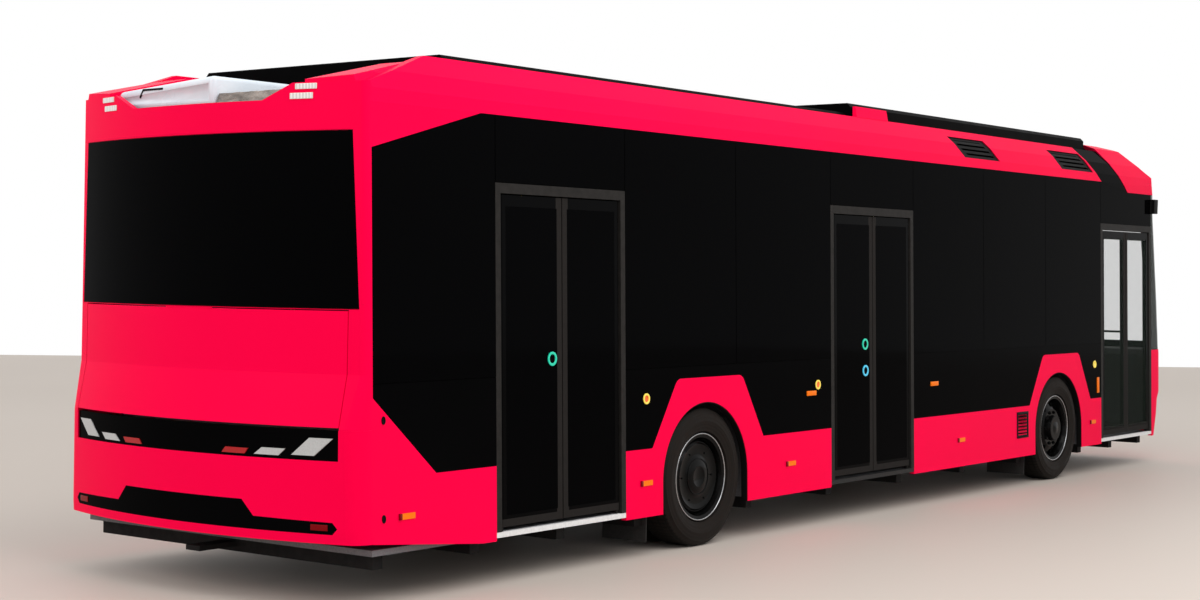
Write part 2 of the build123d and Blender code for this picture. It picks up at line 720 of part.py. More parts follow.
def chassis_frame():
    """Rails and crossmembers under the floor, open at the axles."""
    top = FLOOR_TOP - FLOOR_THICK - SEAT
    low = top - 85
    frame = None
    spans = ((-5700, REAR_AXLE_X - 640), (REAR_AXLE_X + 640, FRONT_AXLE_X - 640), (FRONT_AXLE_X + 640, 5560))
    for x0, x1 in spans:
        for y in (-820, -330, 330, 820):
            rail = block(x0, x1, y - 35, y + 35, low, top)
            frame = rail if frame is None else frame + rail
        bays = max(1, math.ceil((x1 - x0) / 1150))
        for i in range(bays + 1):
            x = x0 + 40 + (x1 - x0 - 80) * i / bays
            frame += block(x - 40, x + 40, -1180, 1180, low, top)
    for axle_x in (REAR_AXLE_X, FRONT_AXLE_X):
        for s in (-1, 1):
            for fore in (-1, 1):
                x0, x1 = sorted((axle_x + fore * 130, axle_x + fore * 645))
                frame += block(x0, x1, s * 330 - 35, s * 330 + 35, low, top)
    for x0, x1, hole in TOW_LUGS:
        lug = block(min(x0, x1), max(x0, x1), -60, 60, low + 30, low + 60)
        frame += lug - rod(hole, 0, low + 45, TOW_HOLE, 60)
    return frame


# Towing lugs at both ends, as (outer end, inner end, hole) along x
TOW_LUGS = ((-5985, -5660, -5930), (5900, 5500, 5850))
TOW_HOLE = 20


def axle_beam():
    """Low beam with its spring carriers, common to both axles."""
    beam = block(-80, 80, -640, 640, BEAM_BOTTOM, BEAM_TOP - 70)
    for s in (-1, 1):
        beam += block(-490, 490, s * SPRING_Y - 45, s * SPRING_Y + 45, BEAM_BOTTOM + 30, BEAM_TOP)
    return beam


def rear_axle():
    """Portal axle: low beam, motor and gear housings, spindles."""
    body = axle_beam()
    for s in (-1, 1):
        y0, y1 = sorted((s * 500, s * 645))
        body += block(-130, 130, y0, y1, BEAM_BOTTOM, 610)
        body += rod(0, s * 800, AXLE_Z, SPINDLE_REAR, 330, "y")
    return Pos(REAR_AXLE_X, 0, 0) * body


def front_axle():
    """Dropped beam with a boss for each kingpin."""
    body = axle_beam()
    for s in (-1, 1):
        y0, y1 = sorted((s * 596, s * 668))
        body += block(-45, 45, y0, y1, BEAM_BOTTOM, 540)
        y0, y1 = sorted((s * 640, s * KINGPIN_Y))
        body += block(-36, 36, y0, y1, 425, 535)
        body += rod(0, s * KINGPIN_Y, 480, 44, 200)
        body -= rod(0, s * KINGPIN_Y, 480, KINGPIN_R + SEAT, 300)
    return Pos(FRONT_AXLE_X, 0, 0) * body


def knuckle(s):
    """Steering knuckle: fork on the kingpin, spindle and steering arm."""
    body = None
    for z0, z1 in ((330, 374), (586, 630)):
        ear = Pos(0, s * KINGPIN_Y, (z0 + z1) / 2) * Cylinder(48, z1 - z0)
        y0, y1 = sorted((s * KINGPIN_Y, s * (KINGPIN_Y + 80)))
        ear += block(-48, 48, y0, y1, z0, z1)
        body = ear if body is None else body + ear
    y0, y1 = sorted((s * (KINGPIN_Y + 52), s * (KINGPIN_Y + 80)))
    body += block(-48, 48, y0, y1, 330, 630)
    body += rod(0, s * KINGPIN_Y, 480, KINGPIN_R, 300)
    body += rod(0, s * (KINGPIN_Y + 155), AXLE_Z, SPINDLE_FRONT, 150, "y")
    y0, y1 = sorted((s * (KINGPIN_Y - 20), s * (KINGPIN_Y + 25)))
    body += block(-250, -40, y0, y1, 335, 357)
    return Pos(FRONT_AXLE_X, 0, 0) * body


def air_springs():
    """Bellows between the axles and the shelves of the floor."""
    bellows = []
    for axle_x in (REAR_AXLE_X, FRONT_AXLE_X):
        for s in (-1, 1):
            for fore in (-1, 1):
                z0, z1 = BEAM_TOP + SEAT, SPRING_TOP - SEAT
                rings = []
                for i in range(3):
                    zc = z0 + (z1 - z0) * (i + 0.5) / 3
                    rings.append(zc)
                height = z1 - z0
                body = Cylinder(SPRING_R - 12, height)
                for zc in rings:
                    body += Pos(0, 0, zc - (z0 + z1) / 2) * Cylinder(SPRING_R, height / 3 - 22)
                bellows.append((Pos(axle_x + fore * SPRING_X, s * SPRING_Y, (z0 + z1) / 2) * body).solid())
    return Compound(children=bellows)


def spin(points, y_centre, axle_x, s):
    """Turn (offset outwards, radius) points about an axle on side s."""
    face = make_face(Plane.XY * Polyline(*[(d, r) for d, r in points], close=True))
    body = revolve(face, Axis.X)
    return Pos(axle_x, s * y_centre, AXLE_Z) * Rot(0, 0, 90 * s) * body


def tyre_points():
    """Half section of a tyre as (offset, radius)."""
    w = TYRE_W / 2
    return ((-w * 0.68, RIM_R + SEAT), (-w * 0.68, RIM_FLANGE + 4), (-w * 0.88, RIM_FLANGE + 12), (-w, 385), (-w * 0.95, 440),
            (-w * 0.78, TYRE_R - 7), (-w * 0.6, TYRE_R), (w * 0.6, TYRE_R), (w * 0.78, TYRE_R - 7),
            (w * 0.95, 440), (w, 385), (w * 0.88, RIM_FLANGE + 12),
            (w * 0.68, RIM_FLANGE + 4), (w * 0.68, RIM_R + SEAT))


def rim_points():
    """Closed section of a rim barrel as (offset, radius)."""
    w = TYRE_W / 2
    return ((-w * 0.78, RIM_FLANGE), (-w * 0.70, RIM_FLANGE), (-w * 0.70, RIM_R), (w * 0.70, RIM_R),
            (w * 0.70, RIM_FLANGE), (w * 0.78, RIM_FLANGE), (w * 0.74, RIM_R - 14),
            (w * 0.5, RIM_R - 26), (-w * 0.5, RIM_R - 26), (-w * 0.74, RIM_R - 14))


def hand_holes(body, axle_x, y, s, radius, size, count):
    """Round holes through a wheel disc."""
    for i in range(count):
        a = 2 * math.pi * (i + 0.5) / count
        body -= rod(axle_x + radius * math.cos(a), s * y, AXLE_Z + radius * math.sin(a), size, 90, "y")
    return body


def wheel_front(s):
    """Front wheel: rim, disc that bulges outwards, hub and cap."""
    w = TYRE_W / 2
    hub = SPINDLE_FRONT + SEAT
    disc = ((w * 0.15, RIM_R - 20), (w * 0.3, RIM_R - 22), (w * 0.62, 175), (w * 0.62, 120),
            (w * 0.92, 108), (w * 0.92, 60), (w * 0.98, 0), (w * 0.35, 0), (w * 0.35, hub), (-95, hub),
            (-95, 150), (w * 0.42, 160))
    body = spin(rim_points(), TRACK_FRONT_Y, FRONT_AXLE_X, s) + spin(disc, TRACK_FRONT_Y, FRONT_AXLE_X, s)
    return hand_holes(body, FRONT_AXLE_X, TRACK_FRONT_Y + w * 0.4, s, 215, 24, 10)


def wheel_rear(s):
    """Twin rear wheels: two rims, meeting discs, hub with its cap."""
    w = TYRE_W / 2
    mid = (OUTER_TYRE_Y + OUTER_TYRE_Y - TWIN_SPACING) / 2
    inner_y = OUTER_TYRE_Y - TWIN_SPACING
    lean = TWIN_SPACING / 2
    hub = SPINDLE_REAR + SEAT
    body = spin(rim_points(), OUTER_TYRE_Y, REAR_AXLE_X, s) + spin(rim_points(), inner_y, REAR_AXLE_X, s)
    disc = ((lean - w * 0.3, RIM_R - 22), (lean - w * 0.12, RIM_R - 22), (14, 205), (14, 150), (70, 140),
            (118, 110), (124, 60), (124, 0), (20, 0), (20, hub), (-255, hub), (-255, 140), (-14, 150),
            (-14, 205), (-lean + w * 0.12, RIM_R - 22), (-lean + w * 0.3, RIM_R - 22), (0, 240))
    body += spin(disc, mid, REAR_AXLE_X, s)
    return hand_holes(body, REAR_AXLE_X, mid, s, 178, 18, 10)


def tyre_front(s):
    return spin(tyre_points(), TRACK_FRONT_Y, FRONT_AXLE_X, s)


def tyres_rear(s):
    outer = spin(tyre_points(), OUTER_TYRE_Y, REAR_AXLE_X, s)
    inner = spin(tyre_points(), OUTER_TYRE_Y - TWIN_SPACING, REAR_AXLE_X, s)
    return Compound(children=[outer.solid(), inner.solid()])


def mudflaps():
    """Rubber flaps behind the wheels."""
    flaps = []
    for axle_x in (REAR_AXLE_X, FRONT_AXLE_X):
        x = axle_x - BOX_HALF - 14
        for s in (-1, 1):
            y0, y1 = sorted((s * 850, s * 1215))
            flaps.append(block(x, x + 8, y0, y1, 90, FLOOR_TOP - FLOOR_THICK - SEAT).solid())
    return Compound(children=flaps)


SEAT_SIDE = ((0, 0), (60, 0), (130, 330), (420, 380), (440, 430), (20, 400), (-70, 960), (-120, 960),
             (-60, 380), (40, 330))

# Seats, as (x of the hip line, side, inner y, outer y, height of the foot)
SEAT_ROWS = ((-5080, 1, 300, 1190, FLOOR_TOP), (-4350, 1, 300, 1190, FLOOR_TOP),
             (-2850, 1, 480, 1180, BOX_TOP - 330), (-1450, 1, 300, 1190, FLOOR_TOP),
             (-650, 1, 300, 1190, FLOOR_TOP), (900, 1, 300, 1190, FLOOR_TOP),
             (1700, 1, 300, 1190, FLOOR_TOP), (-2850, -1, 480, 1180, BOX_TOP - 330),
             (-1500, -1, 300, 1190, FLOOR_TOP), (900, -1, 300, 1190, FLOOR_TOP),
             (1700, -1, 300, 1190, FLOOR_TOP))


def passenger_seats():
    """Seat pairs on their pedestals."""
    seats = []
    for x, s, y0, y1, foot in SEAT_ROWS:
        base = foot + SEAT
        points = SEAT_SIDE
        if foot > FLOOR_TOP:
            base = BOX_TOP + SEAT - 330
            points = ((40, 330), (130, 330), (420, 380), (440, 430), (20, 400), (-70, 960), (-120, 960),
                      (-60, 380))
        low, high = sorted((s * y0, s * y1))
        seats.append(along_y([(x + dx, base + dz) for dx, dz in points], low, high).solid())
    return Compound(children=seats)


def handrails():
    """Upright poles from floor to roof."""
    poles = []
    height = ROOF_TOP - ROOF_THICK - FLOOR_TOP - 2 * SEAT
    for x in (-4950, -3300, -1700, -1000, 700, 2500, 4100):
        for s in (-1, 1):
            y = s * 260
            poles.append(rod(x, y, FLOOR_TOP + SEAT + height / 2, 17, height).solid())
    return Compound(children=poles)


def rear_compartment():
    """Drive electronics behind the rear hatch, one plain block."""
    return block(-5690, -5260, -1000, 1000, FLOOR_TOP + SEAT, 1560)


def cab_partition():
    """Screen between the driver and the passengers."""
    body = block(4150, 4180, 150, 1195, FLOOR_TOP + SEAT, 2150)
    return body - block(4100, 4200, 250, 1100, 1300, 2050)


def cab_platform():
    """Raised floor under the driver."""
    return block(4190, 5560, 150, 1205, FLOOR_TOP + SEAT, 500)


def driver_cab():
    """Screen behind the driver and the raised floor of the cab."""
    return Compound(children=[cab_partition().solid(), cab_platform().solid()])


def seats():
    """Seats of the passengers and the driver."""
    return Compound(children=list(passenger_seats().solids()) + [driver_seat().solid()])


def driver_seat():
    base = 500 + SEAT
    points = [(4480 + dx * 1.1, base + dz) for dx, dz in SEAT_SIDE]
    return along_y(points, 380, 880)


def dashboard():
    """Dashboard with its binnacle, steering column and wheel."""
    body = along_y(((5300, 900), (5640, 900), (5640, 1160), (5420, 1200), (5300, 1130)), 160, 1150)
    body += along_y(((5560, 500.3), (5640, 500.3), (5640, 901), (5560, 901)), 160, 1150)
    wheel = Pos(5130, 620, 1180) * Rot(0, -65, 0) * Torus(210, 15)
    spoke = Pos(5130, 620, 1180) * Rot(0, -65, 0) * (Box(60, 410, 14) + Box(410, 40, 14))
    column = Pos(5240, 620, 1090) * Rot(0, 50, 0) * Box(300, 70, 70)
    return body + wheel + spoke + column


# Side lamps, as (x, height, length, depth) on both sides
SIDE_LAMPS = ((-5520, 495, 130, 34), (-3210, 495, 130, 34), (-1400, 495, 130, 34), (1350, 495, 130, 34),
              (4130, 495, 130, 34))


def side_markers():
    """Amber lamps along the skirts."""
    lamps = [slab(frame_points(x - w / 2, x + w / 2, z - h / 2, z + h / 2), -6, 6 - SEAT).solid()
             for x, z, w, h in SIDE_LAMPS]
    return both(Compound(children=lamps))


def write(name, part):
    """Write one node, labelled with its own name."""
    part.label = name
    export_step(part, os.path.join("parts", name + ".step"))


NODES = {
    "skirt_right": skirt_right, "skirt_left": skirt_left, "wall_right": wall_right,
    "wall_left": wall_left, "glazing_right": glazing_right, "glazing_left": glazing_left,
    "air_grilles": air_grilles, "door_frames": door_frames, "door_sills": door_sills,
    "rear_frame": rear_frame, "rear_window": rear_window, "rear_hatch": rear_hatch,
    "rear_bumper": rear_bumper, "rear_trim": rear_trim, "rear_lamps": rear_lamps,
    "roof_coves": roof_coves, "cove_bands": cove_bands, "nose_cap": nose_cap,
    "roof_panel": roof_panel, "roof_housings": roof_housings, "cooling_unit": cooling_unit,
    "front_mask": front_mask, "headlamps": headlamps, "front_frame": front_frame,
    "windscreen": windscreen, "mirror_pods": mirror_pods, "floor_deck": floor_deck,
    "chassis_frame": chassis_frame, "rear_axle": rear_axle, "front_axle": front_axle,
    "air_springs": air_springs, "mudflaps": mudflaps, "seats": seats, "handrails": handrails,
    "drive_block": rear_compartment, "driver_cab": driver_cab, "dashboard": dashboard,
    "side_markers": side_markers,
}


def main():
    os.makedirs("parts", exist_ok=True)
    for name, make in NODES.items():
        write(name, make())
    for name, s in (("left", 1), ("right", -1)):
        write("knuckle_" + name, knuckle(s))
        write("wheel_front_" + name, wheel_front(s))
        write("wheels_rear_" + name, wheel_rear(s))
        write("tyre_front_" + name, tyre_front(s))
        write("tyres_rear_" + name, tyres_rear(s))
    for door, x0, x1 in DOORS:
        for side, end in enumerate(("aft", "fore")):
            write(f"door_{door}_{end}", leaf_frame(x0, x1, side))
            write(f"door_{door}_{end}_glass", leaf_glass(x0, x1, side))


main()
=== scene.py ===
import math

import bpy
from mathutils import Matrix, Vector


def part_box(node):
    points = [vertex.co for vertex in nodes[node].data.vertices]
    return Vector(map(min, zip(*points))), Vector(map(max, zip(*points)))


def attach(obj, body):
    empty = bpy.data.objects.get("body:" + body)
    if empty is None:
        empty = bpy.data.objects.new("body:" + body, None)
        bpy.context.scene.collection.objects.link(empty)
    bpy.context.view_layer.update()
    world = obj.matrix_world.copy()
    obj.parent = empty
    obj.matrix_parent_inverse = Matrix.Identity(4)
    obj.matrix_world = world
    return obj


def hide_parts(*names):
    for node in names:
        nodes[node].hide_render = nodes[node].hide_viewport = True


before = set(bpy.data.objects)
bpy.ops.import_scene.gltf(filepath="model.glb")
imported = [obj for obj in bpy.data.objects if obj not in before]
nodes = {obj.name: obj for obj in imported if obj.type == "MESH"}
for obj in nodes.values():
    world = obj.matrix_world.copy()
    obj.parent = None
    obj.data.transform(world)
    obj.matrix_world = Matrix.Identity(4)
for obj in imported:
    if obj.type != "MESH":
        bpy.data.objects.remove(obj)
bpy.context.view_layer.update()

# Metres, +X forward, +Y to the bus's left, +Z up, origin on the ground under the middle
SIDE_LEAN = math.radians(1.1)
HALF_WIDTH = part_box("skirt_right")[0][1] * -1
SKIRT_FOOT = 0.27
RIM_EDGE = 0.305
ARCH_RADIUS = 0.520
ROOF_SKIN = 2.8343         # top of the roof panel
SEAT_GAP = 0.0003
LEAF_SINK = 0.010          # outer face of a door leaf behind the side surface


def middle_of(name):
    """Middle of a CAD node's box."""
    low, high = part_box(name)
    return (Vector(low) + Vector(high)) / 2


AXLE = {"rear": middle_of("tyres_rear_right"), "front": middle_of("tyre_front_right")}
TYRE_Y = HALF_WIDTH - 0.165
DOOR_MIDDLE = {door: (middle_of(f"door_{door}_aft").x + middle_of(f"door_{door}_fore").x) / 2
               for door in ("rear", "middle", "front")}
RIGHT, LEFT = -1, 1


# Ways of working

def deselect():
    """Nothing selected, so that an operator acts only on what it adds."""
    bpy.ops.object.select_all(action="DESELECT")


def only(piece):
    """Select one piece and make it the active one."""
    deselect()
    piece.select_set(True)
    bpy.context.view_layer.objects.active = piece


def settle(name):
    """Name the new primitive and put its place, turn and size into its mesh."""
    piece = bpy.context.object
    piece.name = name
    bpy.ops.object.transform_apply(location=True, rotation=True, scale=True)
    return piece


def new_box(name, low, high):
    """Box between two corners, to be shaped further."""
    low, high = Vector(low), Vector(high)
    deselect()
    bpy.ops.mesh.primitive_cube_add(size=1, location=(low + high) / 2, scale=high - low)
    return settle(name)


def side_spot(side, x, z, out=0.0):
    """Point on the leaning side, moved outwards, and the turn that lays local z along its normal."""
    run = (z - SKIRT_FOOT) * math.tan(SIDE_LEAN)
    place = Vector((x, side * (HALF_WIDTH - run), z))
    place += out * Vector((0, side * math.cos(SIDE_LEAN), math.sin(SIDE_LEAN)))
    return place, (-side * (math.pi / 2 - SIDE_LEAN), 0, 0)


def side_plate(name, side, x, z, width, height, thick, out=0.0):
    """Plate that lies on the side surface, to be shaped further."""
    place, turn = side_spot(side, x, z, out + thick / 2)
    deselect()
    bpy.ops.mesh.primitive_cube_add(size=1, location=place, rotation=turn, scale=(width, height, thick))
    return settle(name)


def pick(piece, test):
    """Edit mode with the faces selected that pass a test on their middle and normal."""
    only(piece)
    bpy.ops.object.mode_set(mode="EDIT")
    bpy.ops.mesh.select_mode(type="FACE")
    bpy.ops.mesh.select_all(action="DESELECT")
    bpy.ops.object.mode_set(mode="OBJECT")
    for face in piece.data.polygons:
        face.select = test(face.center, face.normal)
    bpy.ops.object.mode_set(mode="EDIT")


def pick_points(piece, test):
    """Edit mode with the points selected that pass a test on their place."""
    only(piece)
    bpy.ops.object.mode_set(mode="EDIT")
    bpy.ops.mesh.select_mode(type="VERT")
    bpy.ops.mesh.select_all(action="DESELECT")
    bpy.ops.object.mode_set(mode="OBJECT")
    for point in piece.data.vertices:
        point.select = test(point.co)
    bpy.ops.object.mode_set(mode="EDIT")


def leave_edit():
    bpy.ops.object.mode_set(mode="OBJECT")


def extrude(step):
    """Extrude the selected faces by a step."""
    bpy.ops.mesh.extrude_region_move(TRANSFORM_OT_translate={"value": Vector(step)})


def sunk_panel(piece, test, border, depth):
    """Border a face and sink, or with a negative depth raise, its middle."""
    pick(piece, test)
    bpy.ops.mesh.inset(thickness=border, depth=0)
    bpy.ops.mesh.inset(thickness=abs(depth) * 0.3, depth=-depth)
    leave_edit()


def modify(piece, kind, **settings):
    """Add a modifier, set it and apply it."""
    only(piece)
    modifier = piece.modifiers.new(kind.lower(), kind)
    for key, value in settings.items():
        setattr(modifier, key, value)
    bpy.ops.object.modifier_apply(modifier=modifier.name)


def rounded(piece, width, segments=2, angle=35):
    """Soften the edges of a piece."""
    modify(piece, "BEVEL", width=width, segments=segments, limit_method="ANGLE",
           angle_limit=math.radians(angle))
    only(piece)
    bpy.ops.object.shade_smooth_by_angle(angle=math.radians(angle))


def closed(piece):
    """Merge doubles and turn the faces outwards."""
    pick(piece, lambda middle, normal: True)
    bpy.ops.mesh.select_all(action="SELECT")
    bpy.ops.mesh.remove_doubles(threshold=0.0002)
    bpy.ops.mesh.normals_make_consistent(inside=False)
    leave_edit()


def finish_faces(piece, finish, test):
    """Give the faces that pass a test a finish of their own."""
    piece.data.materials.append(finish)
    pick(piece, test)
    piece.active_material_index = len(piece.data.materials) - 1
    bpy.ops.object.material_slot_assign()
    leave_edit()


def fit(piece, body, finish):
    """Give a piece its finish and the body and slot that it goes with."""
    if piece.data.materials:
        piece.data.materials[0] = finish
    else:
        piece.data.materials.append(finish)
    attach(piece, body)
    return piece


def joined(pieces, name):
    """Several pieces made one."""
    deselect()
    for piece in pieces:
        piece.select_set(True)
    bpy.context.view_layer.objects.active = pieces[0]
    bpy.ops.object.join()
    pieces[0].name = name
    return pieces[0]


def copied(piece, name, shift=(0, 0, 0)):
    """Copy of a piece with its own mesh, moved."""
    only(piece)
    bpy.ops.object.duplicate()
    copy = bpy.context.object
    copy.name = name
    copy.location = Vector(shift)
    bpy.ops.object.transform_apply(location=True, rotation=True, scale=True)
    return copy


def turned_copy(piece, name, angle, axis, centre):
    """Copy of a piece with its own mesh, turned about an axis through a point."""
    only(piece)
    bpy.ops.object.duplicate()
    copy = bpy.context.object
    copy.name = name
    spot = Vector(centre)
    copy.matrix_world = (Matrix.Translation(spot) @ Matrix.Rotation(angle, 4, axis)
                         @ Matrix.Translation(-spot) @ copy.matrix_world)
    bpy.ops.object.transform_apply(location=True, rotation=True, scale=True)
    return copy


def mirrored(piece, name):
    """Copy of a piece on the other side of the bus."""
    only(piece)
    bpy.ops.object.duplicate()
    copy = bpy.context.object
    copy.name = name
    copy.scale = (1, -1, 1)
    bpy.ops.object.transform_apply(location=True, rotation=True, scale=True)
    closed(copy)
    return copy


# Camera

CAMERA_PLACE = (-13.510, -8.701, 1.881)
CAMERA_YAW = math.radians(37.248)
CAMERA_PITCH = math.radians(-0.809)
CAMERA_ROLL = math.radians(0.603)
CAMERA_LENS = 57.742       # mm, for a sensor 36 mm wide


def photo_camera():
    """Camera where the photograph was taken."""
    place = Vector(CAMERA_PLACE)
    bpy.ops.object.camera_add(location=place)
    camera = bpy.context.object
    camera.name = "photo_camera"
    turn = (Matrix.Rotation(CAMERA_YAW - math.pi / 2, 4, "Z")
            @ Matrix.Rotation(math.pi / 2 + CAMERA_PITCH, 4, "X")
            @ Matrix.Rotation(CAMERA_ROLL, 4, "Z"))
    camera.matrix_world = Matrix.Translation(place) @ turn
    camera.data.sensor_width = 36
    camera.data.lens = CAMERA_LENS
    camera.data.clip_end = 300
    bpy.context.scene.camera = camera


# Finishes

def shader(name):
    """New material with its nodes and its Principled shader."""
    material = bpy.data.materials.new(name)
    material.use_nodes = True
    tree = material.node_tree
    return material, tree, tree.nodes["Principled BSDF"]


def object_coords(tree, scale=(1, 1, 1), centre=(0, 0, 0)):
    """Object coordinates about a centre, stretched."""
    coords = tree.nodes.new("ShaderNodeTexCoord")
    mapping = tree.nodes.new("ShaderNodeMapping")
    mapping.inputs["Scale"].default_value = scale
    mapping.inputs["Location"].default_value = [-c * s for c, s in zip(centre, scale)]
    tree.links.new(coords.outputs["Object"], mapping.inputs["Vector"])
    return mapping.outputs["Vector"]


def noise(tree, vector, scale, detail=3.0, rough=0.5):
    """Noise texture on a vector."""
    node = tree.nodes.new("ShaderNodeTexNoise")
    node.inputs["Scale"].default_value = scale
    node.inputs["Detail"].default_value = detail
    node.inputs["Roughness"].default_value = rough
    tree.links.new(vector, node.inputs["Vector"])
    return node.outputs["Fac"]


def maths(tree, operation, *values):
    """Result of a Math node on sockets and numbers."""
    node = tree.nodes.new("ShaderNodeMath")
    node.operation = operation
    for socket, value in zip(node.inputs, values):
        if isinstance(value, (int, float)):
            socket.default_value = value
        else:
            tree.links.new(value, socket)
    return node.outputs[0]


def axes(tree, vector):
    """The three parts of a vector."""
    node = tree.nodes.new("ShaderNodeSeparateXYZ")
    tree.links.new(vector, node.inputs[0])
    return node.outputs


def ramp(tree, value, low, high, at=(0.15, 0.85)):
    """Two colours or greys blended by a value."""
    node = tree.nodes.new("ShaderNodeValToRGB")
    for stop, place, colour in zip(node.color_ramp.elements, at, (low, high)):
        stop.position = place
        stop.color = colour if len(colour) == 4 else (*colour, 1)
    node.color_ramp.interpolation = "EASE"
    tree.links.new(value, node.inputs["Fac"])
    return node.outputs["Color"]


def blend(tree, share, first, second):
    """Colour that goes from the first to the second by a share."""
    node = tree.nodes.new("ShaderNodeMix")
    node.data_type = "RGBA"
    tree.links.new(share, node.inputs["Factor"])
    tree.links.new(first, node.inputs["A"])
    tree.links.new(second, node.inputs["B"])
    return node.outputs["Result"]


def grey(value):
    return (value, value, value)


def bump(tree, principled, height, strength, distance):
    """Bump from a height on the shader's normal."""
    node = tree.nodes.new("ShaderNodeBump")
    node.inputs["Strength"].default_value = strength
    node.inputs["Distance"].default_value = distance
    tree.links.new(height, node.inputs["Height"])
    tree.links.new(node.outputs["Normal"], principled.inputs["Normal"])


def set_gloss(principled, metallic=0.0, specular=0.5, coat=0.0, coat_rough=0.05):
    """Numbers that are the same all over a surface."""
    principled.inputs["Metallic"].default_value = metallic
    principled.inputs["Specular IOR Level"].default_value = specular
    principled.inputs["Coat Weight"].default_value = coat
    principled.inputs["Coat Roughness"].default_value = coat_rough


def finish_of(name, dark, light, rough, spread, grain, relief=0.0, distance=0.001, stretch=(1, 1, 1),
              metallic=0.0, specular=0.5, coat=0.0, coat_rough=0.05, detail=3.0, glow=0.0):
    """A finish whose colour, gloss and surface vary with a grain."""
    material, tree, principled = shader(name)
    vector = object_coords(tree, stretch)
    broad = noise(tree, vector, grain, detail)
    fine = noise(tree, vector, grain * 2.3, 2.0)
    tree.links.new(ramp(tree, broad, dark, light), principled.inputs["Base Color"])
    tree.links.new(ramp(tree, fine, grey(max(rough - spread, 0.02)), grey(rough + spread)),
                   principled.inputs["Roughness"])
    set_gloss(principled, metallic, specular, coat, coat_rough)
    if relief:
        bump(tree, principled, fine, relief, distance)
    if glow:
        principled.inputs["Emission Color"].default_value = (*light, 1)
        principled.inputs["Emission Strength"].default_value = glow
    return material


def split_finish(name, first, second, mask, rough, grain=30.0, relief=0.1, distance=0.0005, specular=0.2,
                 metallic=0.0):
    """Two finishes on one piece, parted by a mask that a function makes from the object's coordinates."""
    material, tree, principled = shader(name)
    vector = object_coords(tree)
    share = mask(tree, axes(tree, vector))
    fine = noise(tree, vector, grain)
    tones = [ramp(tree, fine, tuple(0.85 * c for c in tone), tone) for tone in (first, second)]
    tree.links.new(blend(tree, share, *tones), principled.inputs["Base Color"])
    tree.links.new(maths(tree, "MULTIPLY_ADD", share, rough[1] - rough[0], rough[0]),
                   principled.inputs["Roughness"])
    set_gloss(principled, metallic, specular)
    bump(tree, principled, fine, relief, distance)
    return material


def glass_of(name, tint, opacity, rough=0.05, specular=0.3):
    """Tinted glass: a thin sheet whose opacity is set."""
    material, tree, principled = shader(name)
    fac = noise(tree, object_coords(tree), 0.7, 1.0)
    tree.links.new(ramp(tree, fac, tint, tuple(1.15 * c for c in tint)), principled.inputs["Base Color"])
    tree.links.new(ramp(tree, fac, grey(rough), grey(rough * 1.4)), principled.inputs["Roughness"])
    principled.inputs["Specular IOR Level"].default_value = specular
    principled.inputs["Alpha"].default_value = opacity
    return material


def lens_of(name, colour, glow, stripe=60.0, rough=0.12):
    """Lamp lens with fine ribs and a little light of its own."""
    material, tree, principled = shader(name)
    wave = tree.nodes.new("ShaderNodeTexWave")
    wave.inputs["Scale"].default_value = stripe
    tree.links.new(object_coords(tree), wave.inputs["Vector"])
    dim = tuple(0.75 * c for c in colour)
    tree.links.new(ramp(tree, wave.outputs["Fac"], dim, colour), principled.inputs["Base Color"])
    principled.inputs["Roughness"].default_value = rough
    principled.inputs["Specular IOR Level"].default_value = 0.08
    principled.inputs["Emission Color"].default_value = (*colour, 1)
    principled.inputs["Emission Strength"].default_value = glow
    bump(tree, principled, wave.outputs["Fac"], 0.2, 0.001)
    return material


# Pattern of the tyres: sidewall rings, start of the tread, lugs round it, grooves across it
RING_PITCH = 260.0
TREAD_START = 0.466
TREAD_RISE = 4.0           # height of the tread against the sidewall rings
LUGS_ROUND = 84.0
GROOVE_PITCH = 108.0


def tyre_of(name, axle):
    """Tyre rubber with rings on the sidewall and blocks on the tread, about one axle, with painted shade in
    the tread grooves.
    """
    material, tree, principled = shader(name)
    vector = object_coords(tree, centre=tuple(axle))
    x, y, z = axes(tree, vector)
    square = maths(tree, "ADD", maths(tree, "MULTIPLY", x, x), maths(tree, "MULTIPLY", z, z))
    radius = maths(tree, "SQRT", square)
    turn = maths(tree, "ARCTAN2", z, x)
    rings = maths(tree, "MULTIPLY", maths(tree, "SINE", maths(tree, "MULTIPLY", radius, RING_PITCH)), 0.5)
    on_tread = maths(tree, "GREATER_THAN", radius, TREAD_START)
    lugs = maths(tree, "GREATER_THAN",
                 maths(tree, "SINE", maths(tree, "MULTIPLY", turn, LUGS_ROUND)), -0.25)
    grooves = maths(tree, "GREATER_THAN",
                    maths(tree, "SINE", maths(tree, "MULTIPLY", y, GROOVE_PITCH)), -0.7)
    blocks = maths(tree, "MULTIPLY", lugs, grooves)
    side_part = maths(tree, "MULTIPLY", rings, maths(tree, "SUBTRACT", 1.0, on_tread))
    tread_part = maths(tree, "MULTIPLY", blocks, maths(tree, "MULTIPLY", on_tread, TREAD_RISE))
    height = maths(tree, "ADD", side_part, tread_part)
    grain = noise(tree, vector, 14, 4.0)
    # Sidewalls and block tops take the lighter, worn rubber colour; the grooves between the blocks are
    # painted much darker, as painted shade.
    worn = ramp(tree, grain, (0.0055, 0.0040, 0.0032), (0.0125, 0.0090, 0.0070))
    dark = ramp(tree, grain, (0.0015, 0.0013, 0.0011), (0.003, 0.0026, 0.0022))
    outside_grooves = maths(tree, "MAXIMUM", blocks, maths(tree, "SUBTRACT", 1.0, on_tread))
    tree.links.new(blend(tree, outside_grooves, dark, worn), principled.inputs["Base Color"])
    tree.links.new(ramp(tree, grain, grey(0.55), grey(0.8)), principled.inputs["Roughness"])
    set_gloss(principled, specular=0.12)
    bump(tree, principled, height, 0.5, 0.0015)
    return material


def inside_of(axis, limit):
    """Mask that is 1 where a coordinate lies nearer the middle than a limit."""
    def mask(tree, parts):
        return maths(tree, "LESS_THAN", maths(tree, "ABSOLUTE", parts[axis]), limit)
    return mask


